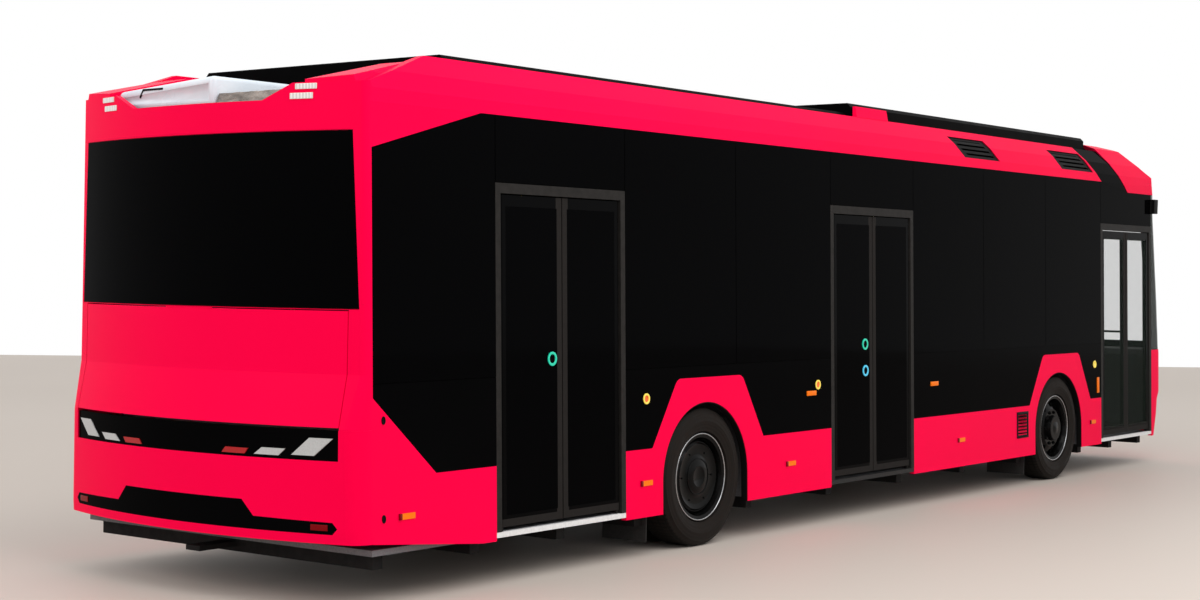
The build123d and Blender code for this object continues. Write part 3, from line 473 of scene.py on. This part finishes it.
MIDDLE_RUBBER = 0.060      # half width of the two rubbers where a door's leaves meet
FOOT_RAIL = 0.392          # top of the grey rail along the leaves' foot
DISPLAY_FOOT = 2.563       # lower edge of the black part of the windscreen


def door_rubber(door):
    """Mask of the middle rubbers and the foot rail on the leaves of one door."""
    def mask(tree, parts):
        away = maths(tree, "ABSOLUTE", maths(tree, "SUBTRACT", parts[0], DOOR_MIDDLE[door]))
        near = maths(tree, "LESS_THAN", away, MIDDLE_RUBBER)
        low = maths(tree, "LESS_THAN", parts[2], FOOT_RAIL)
        return maths(tree, "MAXIMUM", near, low)
    return mask


BLACK = (0.0012, 0.0012, 0.0014)
FRAME_GREY = (0.020, 0.018, 0.017)

crimson = finish_of("crimson_paint", (0.97, 0.0, 0.055), (1.0, 0.0, 0.063), 0.34, 0.03, 0.5,
                    specular=0.018, detail=1.0)
gloss_black = finish_of("gloss_black_panel", BLACK, (0.0018, 0.0018, 0.002), 0.12, 0.02, 0.8,
                        specular=0.006)
satin_black = finish_of("satin_black_plastic", (0.002, 0.002, 0.0022), (0.005, 0.005, 0.0053), 0.5, 0.08,
                        60, relief=0.15, distance=0.0005, specular=0.06)
side_glass = glass_of("side_glass", BLACK, 0.992, 0.04, 0.006)
rear_glass = glass_of("rear_glass", BLACK, 0.994, 0.05, 0.006)
door_glass = glass_of("door_glass", BLACK, 0.985, 0.04, 0.006)
clear_door_glass = glass_of("clear_door_glass", (0.03, 0.045, 0.035), 0.12, 0.02, 0.02)
door_grey = finish_of("door_frame_grey", (0.014, 0.013, 0.012), (0.022, 0.020, 0.019), 0.55, 0.06, 24,
                      relief=0.1, distance=0.0004, specular=0.08)
step_edge = split_finish("step_edges_bright_and_dark", grey(0.80), grey(0.012), inside_of(0, 1.0),
                         (0.35, 0.5), grain=60)
rim_metal = finish_of("rim_edge_metal", (0.30, 0.30, 0.31), (0.42, 0.42, 0.43), 0.16, 0.05, 40,
                      metallic=0.9, relief=0.05)
lamp_white = split_finish("rear_lamp_lenses", (0.52, 0.53, 0.53), (0.42, 0.003, 0.006), inside_of(1, 0.565),
                          (0.12, 0.15), grain=120, relief=0.25, distance=0.001, specular=0.4)
headlamp_clear = lens_of("headlamp_lens", (0.62, 0.64, 0.66), 0.05, 40)
lamp_pale = lens_of("marker_pale_lens", (0.80, 0.76, 0.74), 0.10, 70)
# This red lens glows faintly: on the low lamps' end caps that is lamp light, on the tail reflectors it is
# painted light.
lamp_red = lens_of("reflector_red", (0.22, 0.001, 0.004), 0.02, 150)
housing_black = finish_of("roof_housing_black", (0.001, 0.001, 0.0011), (0.002, 0.002, 0.0021), 0.4,
                          0.06, 3, relief=0.05, distance=0.002, specular=0.01)
roof_grey = finish_of("roof_grey", (0.18, 0.18, 0.19), (0.25, 0.25, 0.26), 0.5, 0.1, 5, relief=0.1)
foil = finish_of("crinkled_foil", (0.07, 0.058, 0.047), (0.40, 0.35, 0.31), 0.3, 0.12, 16, relief=0.9,
                 distance=0.012, stretch=(1, 0.6, 2), metallic=0.4, detail=5)
cooler_pale = finish_of("cooler_pale", (0.62, 0.70, 0.78), (0.80, 0.86, 0.92), 0.25, 0.1, 3, relief=0.05)
seat_cloth = finish_of("seat_cloth", (0.035, 0.045, 0.07), (0.07, 0.085, 0.12), 0.85, 0.08, 220, relief=0.5,
                       distance=0.001, stretch=(1, 1, 3))
floor_cover = finish_of("floor_covering", (0.10, 0.10, 0.11), (0.17, 0.17, 0.18), 0.7, 0.1, 90, relief=0.3,
                        detail=6)
chassis_black = finish_of("chassis_black", (0.006, 0.006, 0.0065), (0.014, 0.013, 0.0125), 0.7, 0.1, 14,
                          relief=0.3, distance=0.002, specular=0.1)
bellows_black = finish_of("bellows_rubber", grey(0.010), (0.020, 0.019, 0.018), 0.75, 0.08, 50,
                          relief=0.3, distance=0.001)
flap_black = finish_of("mudflap_rubber", (0.006, 0.006, 0.006), (0.014, 0.013, 0.0125), 0.8, 0.08, 35,
                       relief=0.3, distance=0.002)
seat_shell = finish_of("seat_shell_plastic", (0.03, 0.035, 0.05), (0.05, 0.055, 0.075), 0.5, 0.1, 40,
                       relief=0.1)
rail_yellow = finish_of("handrail_yellow", (0.68, 0.48, 0.03), (0.80, 0.58, 0.05), 0.35, 0.06, 12)
drive_grey = finish_of("drive_casting", (0.16, 0.16, 0.17), (0.26, 0.26, 0.27), 0.5, 0.1, 25, metallic=0.5,
                       relief=0.3)
cab_grey = finish_of("cab_panel_grey", (0.05, 0.05, 0.055), (0.08, 0.08, 0.085), 0.6, 0.08, 60, relief=0.2)
dash_black = finish_of("dashboard_black", (0.012, 0.012, 0.013), (0.022, 0.022, 0.023), 0.6, 0.1, 110,
                       relief=0.25)
amber_lens = lens_of("amber_lens", (0.95, 0.19, 0.006), 0.12)
wheel_black = finish_of("wheel_gloss_black", (0.0015, 0.0015, 0.0016), grey(0.003), 0.14, 0.04, 18,
                        specular=0.07, coat=0.02)
button_green = finish_of("button_green", (0.004, 0.52, 0.33), (0.006, 0.60, 0.39), 0.3, 0.05, 60, glow=0.15)
button_blue = finish_of("button_blue", (0.06, 0.50, 0.74), (0.07, 0.56, 0.83), 0.3, 0.05, 60, glow=0.15)
# The yellow and orange release buttons are no lamps: their faint glow is painted light.
button_yellow_painted_glow = finish_of("button_yellow_painted_glow", (0.95, 0.70, 0.08), (1.0, 0.80, 0.12), 0.35, 0.05, 60, glow=0.08)
button_orange_painted_glow = finish_of("button_orange_painted_glow", (0.75, 0.10, 0.01), (0.9, 0.16, 0.012), 0.35, 0.05, 60,
                          glow=0.05)
seal_black = finish_of("seal_rubber", grey(0.002), grey(0.004), 0.7, 0.08, 60, relief=0.1, specular=0.1)
TYRE_FINISH = {end: tyre_of(f"tyre_rubber_{end}", AXLE[end]) for end in ("rear", "front")}
LEAF_FINISH = {door: split_finish(f"leaf_{door}_black_and_grey", BLACK, FRAME_GREY, door_rubber(door),
                                  (0.14, 0.55), specular=0.02)
               for door in DOOR_MIDDLE}


def screen_glass():
    """Windscreen: clear below, black over the route display."""
    material, tree, principled = shader("windscreen_glass")
    vector = object_coords(tree)
    brow = maths(tree, "GREATER_THAN", axes(tree, vector)[2], DISPLAY_FOOT)
    fac = noise(tree, vector, 0.7, 1.0)
    clear = ramp(tree, fac, (0.20, 0.23, 0.215), (0.24, 0.27, 0.255))
    black = ramp(tree, fac, BLACK, (0.002, 0.002, 0.002))
    tree.links.new(blend(tree, brow, clear, black), principled.inputs["Base Color"])
    tree.links.new(maths(tree, "MULTIPLY_ADD", brow, 0.88, 0.12), principled.inputs["Alpha"])
    principled.inputs["Roughness"].default_value = 0.03
    principled.inputs["Specular IOR Level"].default_value = 0.25
    return material


NODE_FINISH = {
    "skirt_right": crimson, "skirt_left": crimson, "wall_right": gloss_black, "wall_left": gloss_black,
    "glazing_right": side_glass, "glazing_left": side_glass, "air_grilles": satin_black,
    "door_frames": door_grey, "door_sills": step_edge, "rear_frame": crimson,
    "rear_window": rear_glass, "rear_bumper": crimson, "rear_trim": gloss_black,
    "rear_lamps": lamp_white, "roof_coves": crimson, "cove_bands": gloss_black, "nose_cap": crimson,
    "roof_panel": roof_grey, "roof_housings": housing_black, "cooling_unit": cooler_pale,
    "front_mask": crimson, "headlamps": headlamp_clear, "front_frame": gloss_black,
    "windscreen": screen_glass(), "mirror_pods": satin_black, "floor_deck": floor_cover,
    "chassis_frame": chassis_black, "rear_axle": chassis_black, "front_axle": chassis_black,
    "air_springs": bellows_black, "mudflaps": flap_black, "seats": seat_shell,
    "handrails": rail_yellow, "drive_block": drive_grey, "driver_cab": cab_grey,
    "dashboard": dash_black, "side_markers": amber_lens, "rear_hatch": crimson,
    "knuckle_left": chassis_black, "knuckle_right": chassis_black,
}
for side in ("left", "right"):
    NODE_FINISH["wheel_front_" + side] = wheel_black
    NODE_FINISH["wheels_rear_" + side] = wheel_black
    NODE_FINISH["tyre_front_" + side] = TYRE_FINISH["front"]
    NODE_FINISH["tyres_rear_" + side] = TYRE_FINISH["rear"]
for door in DOOR_MIDDLE:
    for end in ("aft", "fore"):
        NODE_FINISH[f"door_{door}_{end}"] = LEAF_FINISH[door]
        NODE_FINISH[f"door_{door}_{end}_glass"] = clear_door_glass if door == "front" else door_glass


def paint_nodes():
    """Give every CAD node its finish."""
    for name, finish in NODE_FINISH.items():
        node = nodes[name]
        node.data.materials.clear()
        node.data.materials.append(finish)


# Buttons, lamps and small fittings of the side

LIT_BUTTON = 0.044         # radius of the lit rings on the doors
RELEASE_BUTTON = 0.036     # radius of the yellow ones beside them
BUTTON_THICK = 0.007


def ring_button(name, body, x, z, radius, ring, middle, out=0.0):
    """Round button on the right side, with a raised coloured ring and a sunk middle."""
    place, turn = side_spot(RIGHT, x, z, out + BUTTON_THICK / 2)
    deselect()
    bpy.ops.mesh.primitive_cylinder_add(vertices=36, radius=radius, depth=BUTTON_THICK, location=place,
                                        rotation=turn)
    button = settle(name)
    pick(button, lambda centre, normal: normal.y * RIGHT > 0.9)
    bpy.ops.mesh.inset(thickness=radius * 0.34, depth=0)
    bpy.ops.mesh.inset(thickness=0.001, depth=-0.004)
    leave_edit()
    fit(button, body, ring)
    core = radius * 0.6
    finish_faces(button, middle, lambda centre, normal:
                 normal.y * RIGHT > 0.9 and (centre - place).length < core)
    rounded(button, 0.0012)


def door_buttons():
    """Lit rings on the doors, and the yellow ones on the cladding, whose faint glow is painted light."""
    for name, leaf, x, z, ring in (("button_rear_door", "door_rear_aft", -4.190, 1.345, button_green),
                                   ("button_middle_door", "door_middle_aft", -0.276, 1.345, button_green),
                                   ("button_ramp", "door_middle_aft", -0.271, 1.138, button_blue)):
        ring_button(name, leaf, x, z, LIT_BUTTON, ring, gloss_black, -LEAF_SINK)
    for name, x, z, middle in (("release_rear", -3.209, 1.052, button_orange_painted_glow),
                               ("release_middle", -1.010, 1.058, button_orange_painted_glow),
                               ("release_front", 4.176, 1.048, button_yellow_painted_glow)):
        ring_button(name, "body", x, z, RELEASE_BUTTON, button_yellow_painted_glow, middle)


SIDE_WORDS = ((RIGHT, "right"), (LEFT, "left"))
UPPER_LAMP = (0.13, 0.036)
INDICATOR = (0.040, 0.150)
LENS_EDGE = 0.0015         # rounding of the lamps' edges


def marker_lamp(name, side, x, z, size):
    """Amber lamp with a bevelled lens."""
    lamp = side_plate(name, side, x, z, *size, 0.008)
    pick(lamp, lambda centre, normal: normal.y * side > 0.9)
    bpy.ops.mesh.inset(thickness=0.004, depth=0.003)
    leave_edit()
    fit(lamp, "body", amber_lens)
    rounded(lamp, LENS_EDGE)


def upper_markers():
    """Amber lamps above the skirt and the upright indicator by the front door, on both sides."""
    for name, x, z, size in (("lamp_upper_rear", -1.106, 0.998, UPPER_LAMP),
                             ("lamp_upper_front", 0.860, 0.992, UPPER_LAMP),
                             ("indicator_front", 4.253, 0.845, INDICATOR)):
        for side, word in SIDE_WORDS:
            marker_lamp(f"{name}_{word}", side, x, z, size)


LOW_LAMPS_X = (-5.520, -3.210, -1.400, 1.350, 4.130)
LOW_LAMPS_Z = 0.495
END_SHIFT = 0.056          # from a lamp's middle to its end cap


def lamp_ends():
    """Dark red end cap of each low side lamp."""
    for i, x in enumerate(LOW_LAMPS_X):
        cap = side_plate(f"lamp_end_{i}", RIGHT, x - END_SHIFT, LOW_LAMPS_Z, 0.022, 0.036, 0.009, 0.0005)
        pick(cap, lambda centre, normal: normal.y < -0.9)
        bpy.ops.mesh.inset(thickness=0.003, depth=0.002)
        leave_edit()
        fit(cap, "body", lamp_red)
        rounded(cap, LENS_EDGE)
        mirrored_cap = mirrored(cap, f"lamp_end_left_{i}")
        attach(mirrored_cap, "body")


LATCH_X = -5.708
LATCH_HEIGHTS = (0.495, 1.045)
LATCH_RADIUS = 0.0145


def panel_latches():
    """Oval latches at the tail end of the skirts."""
    for side, word in SIDE_WORDS:
        for i, z in enumerate(LATCH_HEIGHTS):
            place, turn = side_spot(side, LATCH_X, z, 0.002)
            deselect()
            bpy.ops.mesh.primitive_cylinder_add(vertices=28, radius=LATCH_RADIUS, depth=0.008,
                                                location=place, rotation=turn)
            bpy.context.object.scale = (1, 1.6, 1)
            latch = settle(f"latch_{word}_{i}")
            sunk_panel(latch, lambda centre, normal: normal.y * side > 0.9, 0.006, 0.003)
            fit(latch, "body", satin_black)
            rounded(latch, 0.001)


FLAP_SPOT = (2.560, 0.555)  # middle of the service flap, x and height
FLAP_SIZE = 0.235
SLAT_PITCH = 0.030


def service_flap():
    """Black flap with louvres between the middle door and the front wheel."""
    x, z = FLAP_SPOT
    flap = side_plate("service_flap", RIGHT, x, z, FLAP_SIZE, FLAP_SIZE, 0.010, -0.004)
    sunk_panel(flap, lambda centre, normal: normal.y < -0.9, 0.022, 0.006)
    fit(flap, "body", satin_black)
    rounded(flap, 0.002)
    slat = side_plate("service_flap_slat", RIGHT, x, z - 0.075, FLAP_SIZE - 0.060, 0.012, 0.006, -0.001)
    modify(slat, "ARRAY", count=6, use_relative_offset=False, use_constant_offset=True,
           constant_offset_displace=(0, 0, SLAT_PITCH))
    fit(slat, "body", gloss_black)
    rounded(slat, 0.002)


# Wheels and arches

ARCH_GAP = 0.0005
LIP_THICK = 0.006


def arch_lips():
    """Black strip lining the inner edge of each wheel arch."""
    for end, axle in AXLE.items():
        for side, word in SIDE_WORDS:
            outer = ARCH_RADIUS - ARCH_GAP
            y0, y1 = sorted((side * (HALF_WIDTH - 0.004), side * (HALF_WIDTH - 0.052)))
            lip = new_box(f"arch_lip_{end}_{word}", (axle.x + outer - LIP_THICK, y0, SKIRT_FOOT),
                          (axle.x + outer, y1, axle.z))
            pick(lip, lambda centre, normal: normal.z > 0.9)
            bpy.ops.mesh.spin(steps=30, angle=math.pi, center=(axle.x, 0, axle.z), axis=(0, 1, 0))
            extrude((0, 0, SKIRT_FOOT - axle.z))
            leave_edit()
            closed(lip)
            only(lip)
            lip.matrix_world = (Matrix.Translation((0, side * HALF_WIDTH, SKIRT_FOOT))
                                @ Matrix.Rotation(side * SIDE_LEAN, 4, "X")
                                @ Matrix.Translation((0, -side * HALF_WIDTH, -SKIRT_FOOT)))
            bpy.ops.object.transform_apply(location=True, rotation=True, scale=True)
            fit(lip, "body", seal_black)
            only(lip)
            bpy.ops.object.shade_smooth_by_angle(angle=math.radians(35))


def spun_ring(name, axle, side, radius, offset, wire):
    """Ring of round wire about a wheel's axle."""
    centre = Vector((axle.x, side * (TYRE_Y + offset), axle.z))
    deselect()
    bpy.ops.mesh.primitive_circle_add(vertices=10, radius=wire, fill_type="NOTHING",
                                      location=centre + Vector((radius, 0, 0)))
    ring = settle(name)
    only(ring)
    bpy.ops.object.mode_set(mode="EDIT")
    bpy.ops.mesh.select_all(action="SELECT")
    bpy.ops.mesh.spin(steps=72, angle=2 * math.pi, center=centre, axis=(0, 1, 0))
    leave_edit()
    closed(ring)
    only(ring)
    bpy.ops.object.shade_smooth()
    return ring


def wheel_nuts(name, axle, side, radius, offset, count, size):
    """Ring of hexagonal nuts with their washers."""
    place = Vector((axle.x + radius, side * (TYRE_Y + offset), axle.z))
    deselect()
    bpy.ops.mesh.primitive_cylinder_add(vertices=6, radius=size, depth=size, location=place,
                                        rotation=(math.pi / 2, 0, 0))
    nut = settle(name)
    pick(nut, lambda centre, normal: normal.y * side > 0.9)
    bpy.ops.mesh.inset(thickness=size * 0.35, depth=0)
    extrude((0, side * size * 0.5, 0))
    leave_edit()
    rounded(nut, 0.0015, 1)
    nuts = [nut] + [turned_copy(nut, f"{name}_{i}", 2 * math.pi * i / count, "Y", axle)
                    for i in range(1, count)]
    return joined(nuts, name)


COVER_RADIUS = 0.262
COVER_THICK = 0.008
COVER_OUT = 0.058          # rim of the cover, outwards from the middle of the tyre

# Steps of the cover from its rim to its middle, as (width, rise)
COVER_STEPS = ((0.014, 0.010), (0.023, 0.0175), (0.012, -0.004), (0.063, -0.006), (0.010, 0.003),
               (0.040, 0.015), (0.030, 0.002), (0.008, -0.004))


def wheel_cover(name, axle, side):
    """Stepped cover over the outer rear rim."""
    y = side * (TYRE_Y + COVER_OUT - COVER_THICK / 2)
    deselect()
    bpy.ops.mesh.primitive_cylinder_add(vertices=72, radius=COVER_RADIUS, depth=COVER_THICK,
                                        rotation=(math.pi / 2, 0, 0), location=(axle.x, y, axle.z))
    cover = settle(name)
    pick(cover, lambda centre, normal: normal.y * side > 0.9)
    for border, rise in COVER_STEPS:
        bpy.ops.mesh.inset(thickness=border, depth=rise)
    leave_edit()
    only(cover)
    bpy.ops.object.shade_smooth_by_angle(angle=math.radians(30))
    return cover


RIM_WIRE = 0.0055          # radius of the bright wire along the rim's edge
BEAD_WIRE = 0.004

# Beads on the wheels, as (radius, distance outwards from the middle of the tyre)
BEADS = {"rear": ((0.240, 0.074), (0.124, 0.0855)), "front": ((0.196, 0.070), (0.112, 0.122))}


def wheel_trim():
    """Bright rim edge, rings and nuts on every outer wheel."""
    for side, word in SIDE_WORDS:
        for end, body in (("rear", f"rear_wheels_{word}"), ("front", f"front_wheel_{word}")):
            axle = AXLE[end]
            edge = spun_ring(f"rim_edge_{end}_{word}", axle, side, RIM_EDGE - 0.006, 0.1085, RIM_WIRE)
            fit(edge, body, rim_metal)
            if end == "rear":
                cover = wheel_cover(f"wheel_cover_{word}", axle, side)
                fit(cover, body, wheel_black)
                nuts = wheel_nuts(f"cover_bolts_{word}", axle, side, 0.180, 0.079, 6, 0.008)
            else:
                nuts = wheel_nuts(f"wheel_nuts_{word}", axle, side, 0.148, 0.087, 10, 0.017)
            fit(nuts, body, wheel_black)
            for i, (radius, offset) in enumerate(BEADS[end]):
                ring = spun_ring(f"wheel_bead_{end}_{word}_{i}", axle, side, radius, offset, BEAD_WIRE)
                fit(ring, body, wheel_black)


# Roof, tail and front

def cooler():
    """Pale cooling unit in the tail's notch, its slanted top falling outwards, with its lever."""
    tail, inner, outer, top, fall = -5.88, -0.03, 0.835, 3.020, 0.060
    unit = new_box("cooling_box", (tail, inner, ROOF_SKIN), (-5.15, outer, top))
    pick_points(unit, lambda point: point.z > top - 0.01 and point.y > 0)
    bpy.ops.transform.translate(value=(0, 0, -fall))
    leave_edit()
    rounded(unit, 0.030, 4, 60)
    pick(unit, lambda centre, normal: normal.x < -0.98 and abs(centre.x - tail) < 0.001)
    bpy.ops.mesh.inset(thickness=0.012, depth=0)
    bpy.ops.mesh.inset(thickness=0.002, depth=-0.005)
    leave_edit()
    fit(unit, "body", cooler_pale)
    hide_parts("cooling_unit")
    lever = new_box("cooling_lever", (-5.886, 0.42, 2.955), (-5.874, 0.60, 2.967))
    pick(lever, lambda centre, normal: normal.y > 0.9)
    extrude((0, 0.03, -0.045))
    leave_edit()
    fit(lever, "body", satin_black)
    rounded(lever, 0.003)


def duct():
    """Low duct beside the cooling unit, wrapped in crinkled foil, with its ribs."""
    low, high, foot_x, head_x = -0.82, -0.04, -5.88, -5.845
    body = new_box("roof_duct", (foot_x, low, ROOF_SKIN), (-5.20, high, 2.914))
    pick_points(body, lambda point: point.x < -5.8 and point.z > 2.9)
    bpy.ops.transform.translate(value=(head_x - foot_x, 0, 0))
    leave_edit()
    pick(body, lambda centre, normal: True)
    bpy.ops.mesh.select_all(action="SELECT")
    bpy.ops.mesh.subdivide(number_cuts=11)
    leave_edit()
    step = (high - low) / 12
    pick(body, lambda centre, normal: normal.z > 0.9 and int((centre.y - low) / step) % 2 == 0)
    bpy.ops.mesh.inset(thickness=0.008, depth=-0.012)
    leave_edit()
    fit(body, "body", foil)
    rounded(body, 0.004)
    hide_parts("cooling_unit")


def camera_pods():
    """Camera pods that stand in for mirrors, each with a sunk window facing the tail."""
    for side, word in SIDE_WORDS:
        inner, outer = 1.2335, 1.282
        y0, y1 = sorted((side * inner, side * outer))
        pod = new_box(f"camera_pod_{word}", (5.594, y0, 2.545), (5.690, y1, 2.690))
        pick(pod, lambda centre, normal: normal.z > 0.9)
        bpy.ops.transform.translate(value=(0.010, 0, 0))
        leave_edit()
        sunk_panel(pod, lambda centre, normal: normal.x < -0.9, 0.010, 0.004)
        fit(pod, "body", satin_black)
        rounded(pod, 0.012, 3)
        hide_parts("mirror_pods")


def front_lining():
    """Dark linings behind the front panel and its corners."""
    lining = new_box("front_lining", (5.700, -1.13, 0.325), (5.900, 1.13, 1.150))
    sunk_panel(lining, lambda centre, normal: normal.x < -0.9, 0.06, 0.012)
    pick(lining, lambda centre, normal: normal.z > 0.9)
    bpy.ops.mesh.inset(thickness=0.03, depth=0.012)
    leave_edit()
    fit(lining, "body", dash_black)
    rounded(lining, 0.015, 3)
    for side, word in SIDE_WORDS:
        y0, y1 = sorted((side * 1.135, side * 1.190))
        cheek = new_box(f"corner_lining_{word}", (5.665, y0, 0.325), (5.800, y1, 1.120))
        pick(cheek, lambda centre, normal: normal.x < -0.9)
        bpy.ops.mesh.inset(thickness=0.012, depth=-0.004)
        leave_edit()
        fit(cheek, "body", dash_black)
        rounded(cheek, 0.006)


# Seats, as (x of the hip line, side, inner y, outer y, height of the shell's foot)
SEAT_PAIRS = ((-5.080, 1, 0.300, 1.190, 0.320), (-4.350, 1, 0.300, 1.190, 0.320),
              (-2.850, 1, 0.480, 1.180, 0.715), (-1.450, 1, 0.300, 1.190, 0.320),
              (-0.650, 1, 0.300, 1.190, 0.320), (0.900, 1, 0.300, 1.190, 0.320),
              (1.700, 1, 0.300, 1.190, 0.320), (-2.850, -1, 0.480, 1.180, 0.715),
              (-1.500, -1, 0.300, 1.190, 0.320), (0.900, -1, 0.300, 1.190, 0.320),
              (1.700, -1, 0.300, 1.190, 0.320))


def pad(name, size, place, lean):
    """Crowned pad with its edges drawn in and a sewn border."""
    deselect()
    bpy.ops.mesh.primitive_cube_add(size=1, location=place)
    bpy.context.object.scale = size
    bpy.context.object.rotation_euler = (0, lean, 0)
    cushion = settle(name)
    top = Matrix.Rotation(lean, 3, "Y") @ Vector((0, 0, 1))
    pick(cushion, lambda centre, normal: normal.dot(top) > 0.9)
    bpy.ops.mesh.inset(thickness=0.03, depth=0.004)
    bpy.ops.mesh.inset(thickness=0.006, depth=-0.005)
    bpy.ops.mesh.inset(thickness=0.05, depth=0.014)
    bpy.ops.mesh.inset(thickness=0.06, depth=0.004)
    leave_edit()
    modify(cushion, "BEVEL", width=0.008, segments=2, limit_method="ANGLE", angle_limit=math.radians(70))
    modify(cushion, "SUBSURF", levels=1, render_levels=1)
    only(cushion)
    bpy.ops.object.shade_smooth()
    return cushion


def seat_pads():
    """Seat and back pads on every shell, modelled once and copied."""
    bench = pad("seat_pad_first", (0.36, 0.40, 0.035), (0.225, 0, 0.440), math.radians(-4.1))
    back = pad("back_pad_first", (0.50, 0.38, 0.035), (-0.004, 0, 0.700), math.radians(80.9))
    one = joined([bench, back], "pads_first")
    pads = []
    for i, (x, side, inner, outer, foot) in enumerate(SEAT_PAIRS):
        for j, share in enumerate((0.25, 0.75)):
            y = side * (inner + share * (outer - inner))
            seat = copied(one, f"pads_{i}_{j}", (x, y, foot + SEAT_GAP))
            pads.append(seat)
    whole = joined(pads, "passenger_pads")
    driver = copied(one, "driver_pads", (4.480, 0.630, 0.502))
    bpy.data.objects.remove(one, do_unlink=True)
    for piece in (whole, driver):
        fit(piece, "body", seat_cloth)


PATCH_START = 0.15         # from a node's box to the flat plate, before it is laid onto the node
PATCH_REACH = 0.6


def surface_patch(name, node, way, across, height, width, tall, thick):
    """Thin plate laid onto a node's surface along x."""
    low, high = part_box(node)
    x = (low[0] if way < 0 else high[0]) + way * PATCH_START
    deselect()
    bpy.ops.mesh.primitive_grid_add(x_subdivisions=4, y_subdivisions=10, size=1,
                                    location=(x, across, height),
                                    rotation=(0, way * math.pi / 2, 0))
    bpy.context.object.scale = (tall, width, 1)
    patch = settle(name)
    modify(patch, "SHRINKWRAP", target=nodes[node], wrap_method="PROJECT", use_project_x=True,
           use_positive_direction=True, use_negative_direction=True, project_limit=PATCH_REACH)
    modify(patch, "SOLIDIFY", thickness=thick, offset=1.0)
    closed(patch)
    rounded(patch, thick * 0.35)
    return patch


# Tail markers, as (inner y, outer y, foot, top)
TAIL_MARKERS = ((0.790, 0.930, 2.892, 2.924), (0.755, 0.905, 2.838, 2.872))


def tail_lamps():
    """Pale marker lamps in the upper corners of the tail, laid onto its curve."""
    for i, (y0, y1, z0, z1) in enumerate(TAIL_MARKERS):
        for side, word in SIDE_WORDS:
            lamp = surface_patch(f"tail_marker_{word}_{i}", "rear_frame", -1, side * (y0 + y1) / 2,
                                 (z0 + z1) / 2, y1 - y0, z1 - z0, 0.006)
            fit(lamp, "body", lamp_pale)


def bumper_reflectors():
    """Red reflectors low in the tail's black insert, with a faint painted glow."""
    for side, word in SIDE_WORDS:
        lamp = surface_patch(f"reflector_{word}", "rear_trim", -1, side * 1.025, 0.452, 0.105, 0.034, 0.005)
        fit(lamp, "body", lamp_red)


def front_wipers():
    """Two wiper blades on the windscreen."""
    foot = Vector(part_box("windscreen")[0]).z + 0.16
    for i, (y0, y1) in enumerate(((0.85, 0.10), (-0.05, -0.80))):
        blade = surface_patch(f"wiper_blade_{i}", "windscreen", 1, (y0 + y1) / 2, foot, abs(y0 - y1),
                              0.022, 0.014)
        fit(blade, "body", seal_black)


def headlamp_bars():
    """Light bar across each headlamp."""
    low, high = (Vector(corner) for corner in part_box("headlamps"))
    for side, word in SIDE_WORDS:
        bar = surface_patch(f"headlamp_bar_{word}", "headlamps", 1, side * (high.y - 0.17),
                            (low.z + high.z) / 2, 0.22, 0.020, 0.004)
        fit(bar, "body", lamp_pale)


# Surroundings

FLOOR_AWAY = 17.0          # from the bus's middle to the floor's middle, towards the camera
FLOOR_SIZE = (84, 160)


def studio_floor():
    """Pale floor that ends out of sight."""
    centre = -FLOOR_AWAY * Vector((math.cos(CAMERA_YAW), math.sin(CAMERA_YAW), 0))
    deselect()
    bpy.ops.mesh.primitive_plane_add(size=1, location=centre, rotation=(0, 0, CAMERA_YAW))
    floor = bpy.context.object
    floor.name = "studio_floor"
    floor.scale = (*FLOOR_SIZE, 1)
    bpy.ops.object.transform_apply(location=True, rotation=True, scale=True)
    material, tree, principled = shader("studio_floor")
    vector = object_coords(tree)
    broad = noise(tree, vector, 0.12, 1.0)
    tree.links.new(ramp(tree, broad, (0.565, 0.50, 0.445), (0.595, 0.53, 0.475)),
                   principled.inputs["Base Color"])
    principled.inputs["Roughness"].default_value = 0.55
    principled.inputs["Specular IOR Level"].default_value = 0.15
    floor.data.materials.append(material)


SKY_LIGHT = 0.88           # strength of the white surroundings as a light
SKY_SEEN = 1.0             # and as what the camera and reflections see

# Broad lamps, as (name, place, what it aims at, size, power in watts)
LAMPS = (("overhead", (-4, -7, 9), (0, 0, 1.5), 9, 650),
         ("tail_side", (-15, 3, 7), (-5, 0, 1.5), 6, 260))


def soft_light():
    """White surroundings and two broad lamps."""
    world = bpy.data.worlds.new("studio")
    bpy.context.scene.world = world
    world.use_nodes = True
    tree = world.node_tree
    back = tree.nodes["Background"]
    back.inputs["Color"].default_value = (1, 1, 1, 1)
    back.inputs["Strength"].default_value = SKY_LIGHT
    white = tree.nodes.new("ShaderNodeBackground")
    white.inputs["Color"].default_value = (1, 1, 1, 1)
    white.inputs["Strength"].default_value = SKY_SEEN
    path = tree.nodes.new("ShaderNodeLightPath")
    shine = maths(tree, "MAXIMUM", path.outputs["Is Glossy Ray"], path.outputs["Is Transmission Ray"])
    seen = maths(tree, "MAXIMUM", path.outputs["Is Camera Ray"], shine)
    mix = tree.nodes.new("ShaderNodeMixShader")
    tree.links.new(seen, mix.inputs["Fac"])
    tree.links.new(back.outputs[0], mix.inputs[1])
    tree.links.new(white.outputs[0], mix.inputs[2])
    tree.links.new(mix.outputs[0], tree.nodes["World Output"].inputs["Surface"])
    for name, place, aim, size, power in LAMPS:
        deselect()
        bpy.ops.object.light_add(type="AREA", location=place)
        lamp = bpy.context.object
        lamp.name = name
        lamp.data.size = size
        lamp.data.energy = power
        away = Vector(aim) - Vector(place)
        lamp.rotation_euler = away.to_track_quat("-Z", "Y").to_euler()


photo_camera()
paint_nodes()
door_buttons()
upper_markers()
lamp_ends()
panel_latches()
service_flap()
arch_lips()
wheel_trim()
cooler()
duct()
camera_pods()
front_lining()
seat_pads()
tail_lamps()
bumper_reflectors()
front_wipers()
headlamp_bars()
studio_floor()
soft_light()
bpy.context.scene.view_settings.view_transform = "Standard"
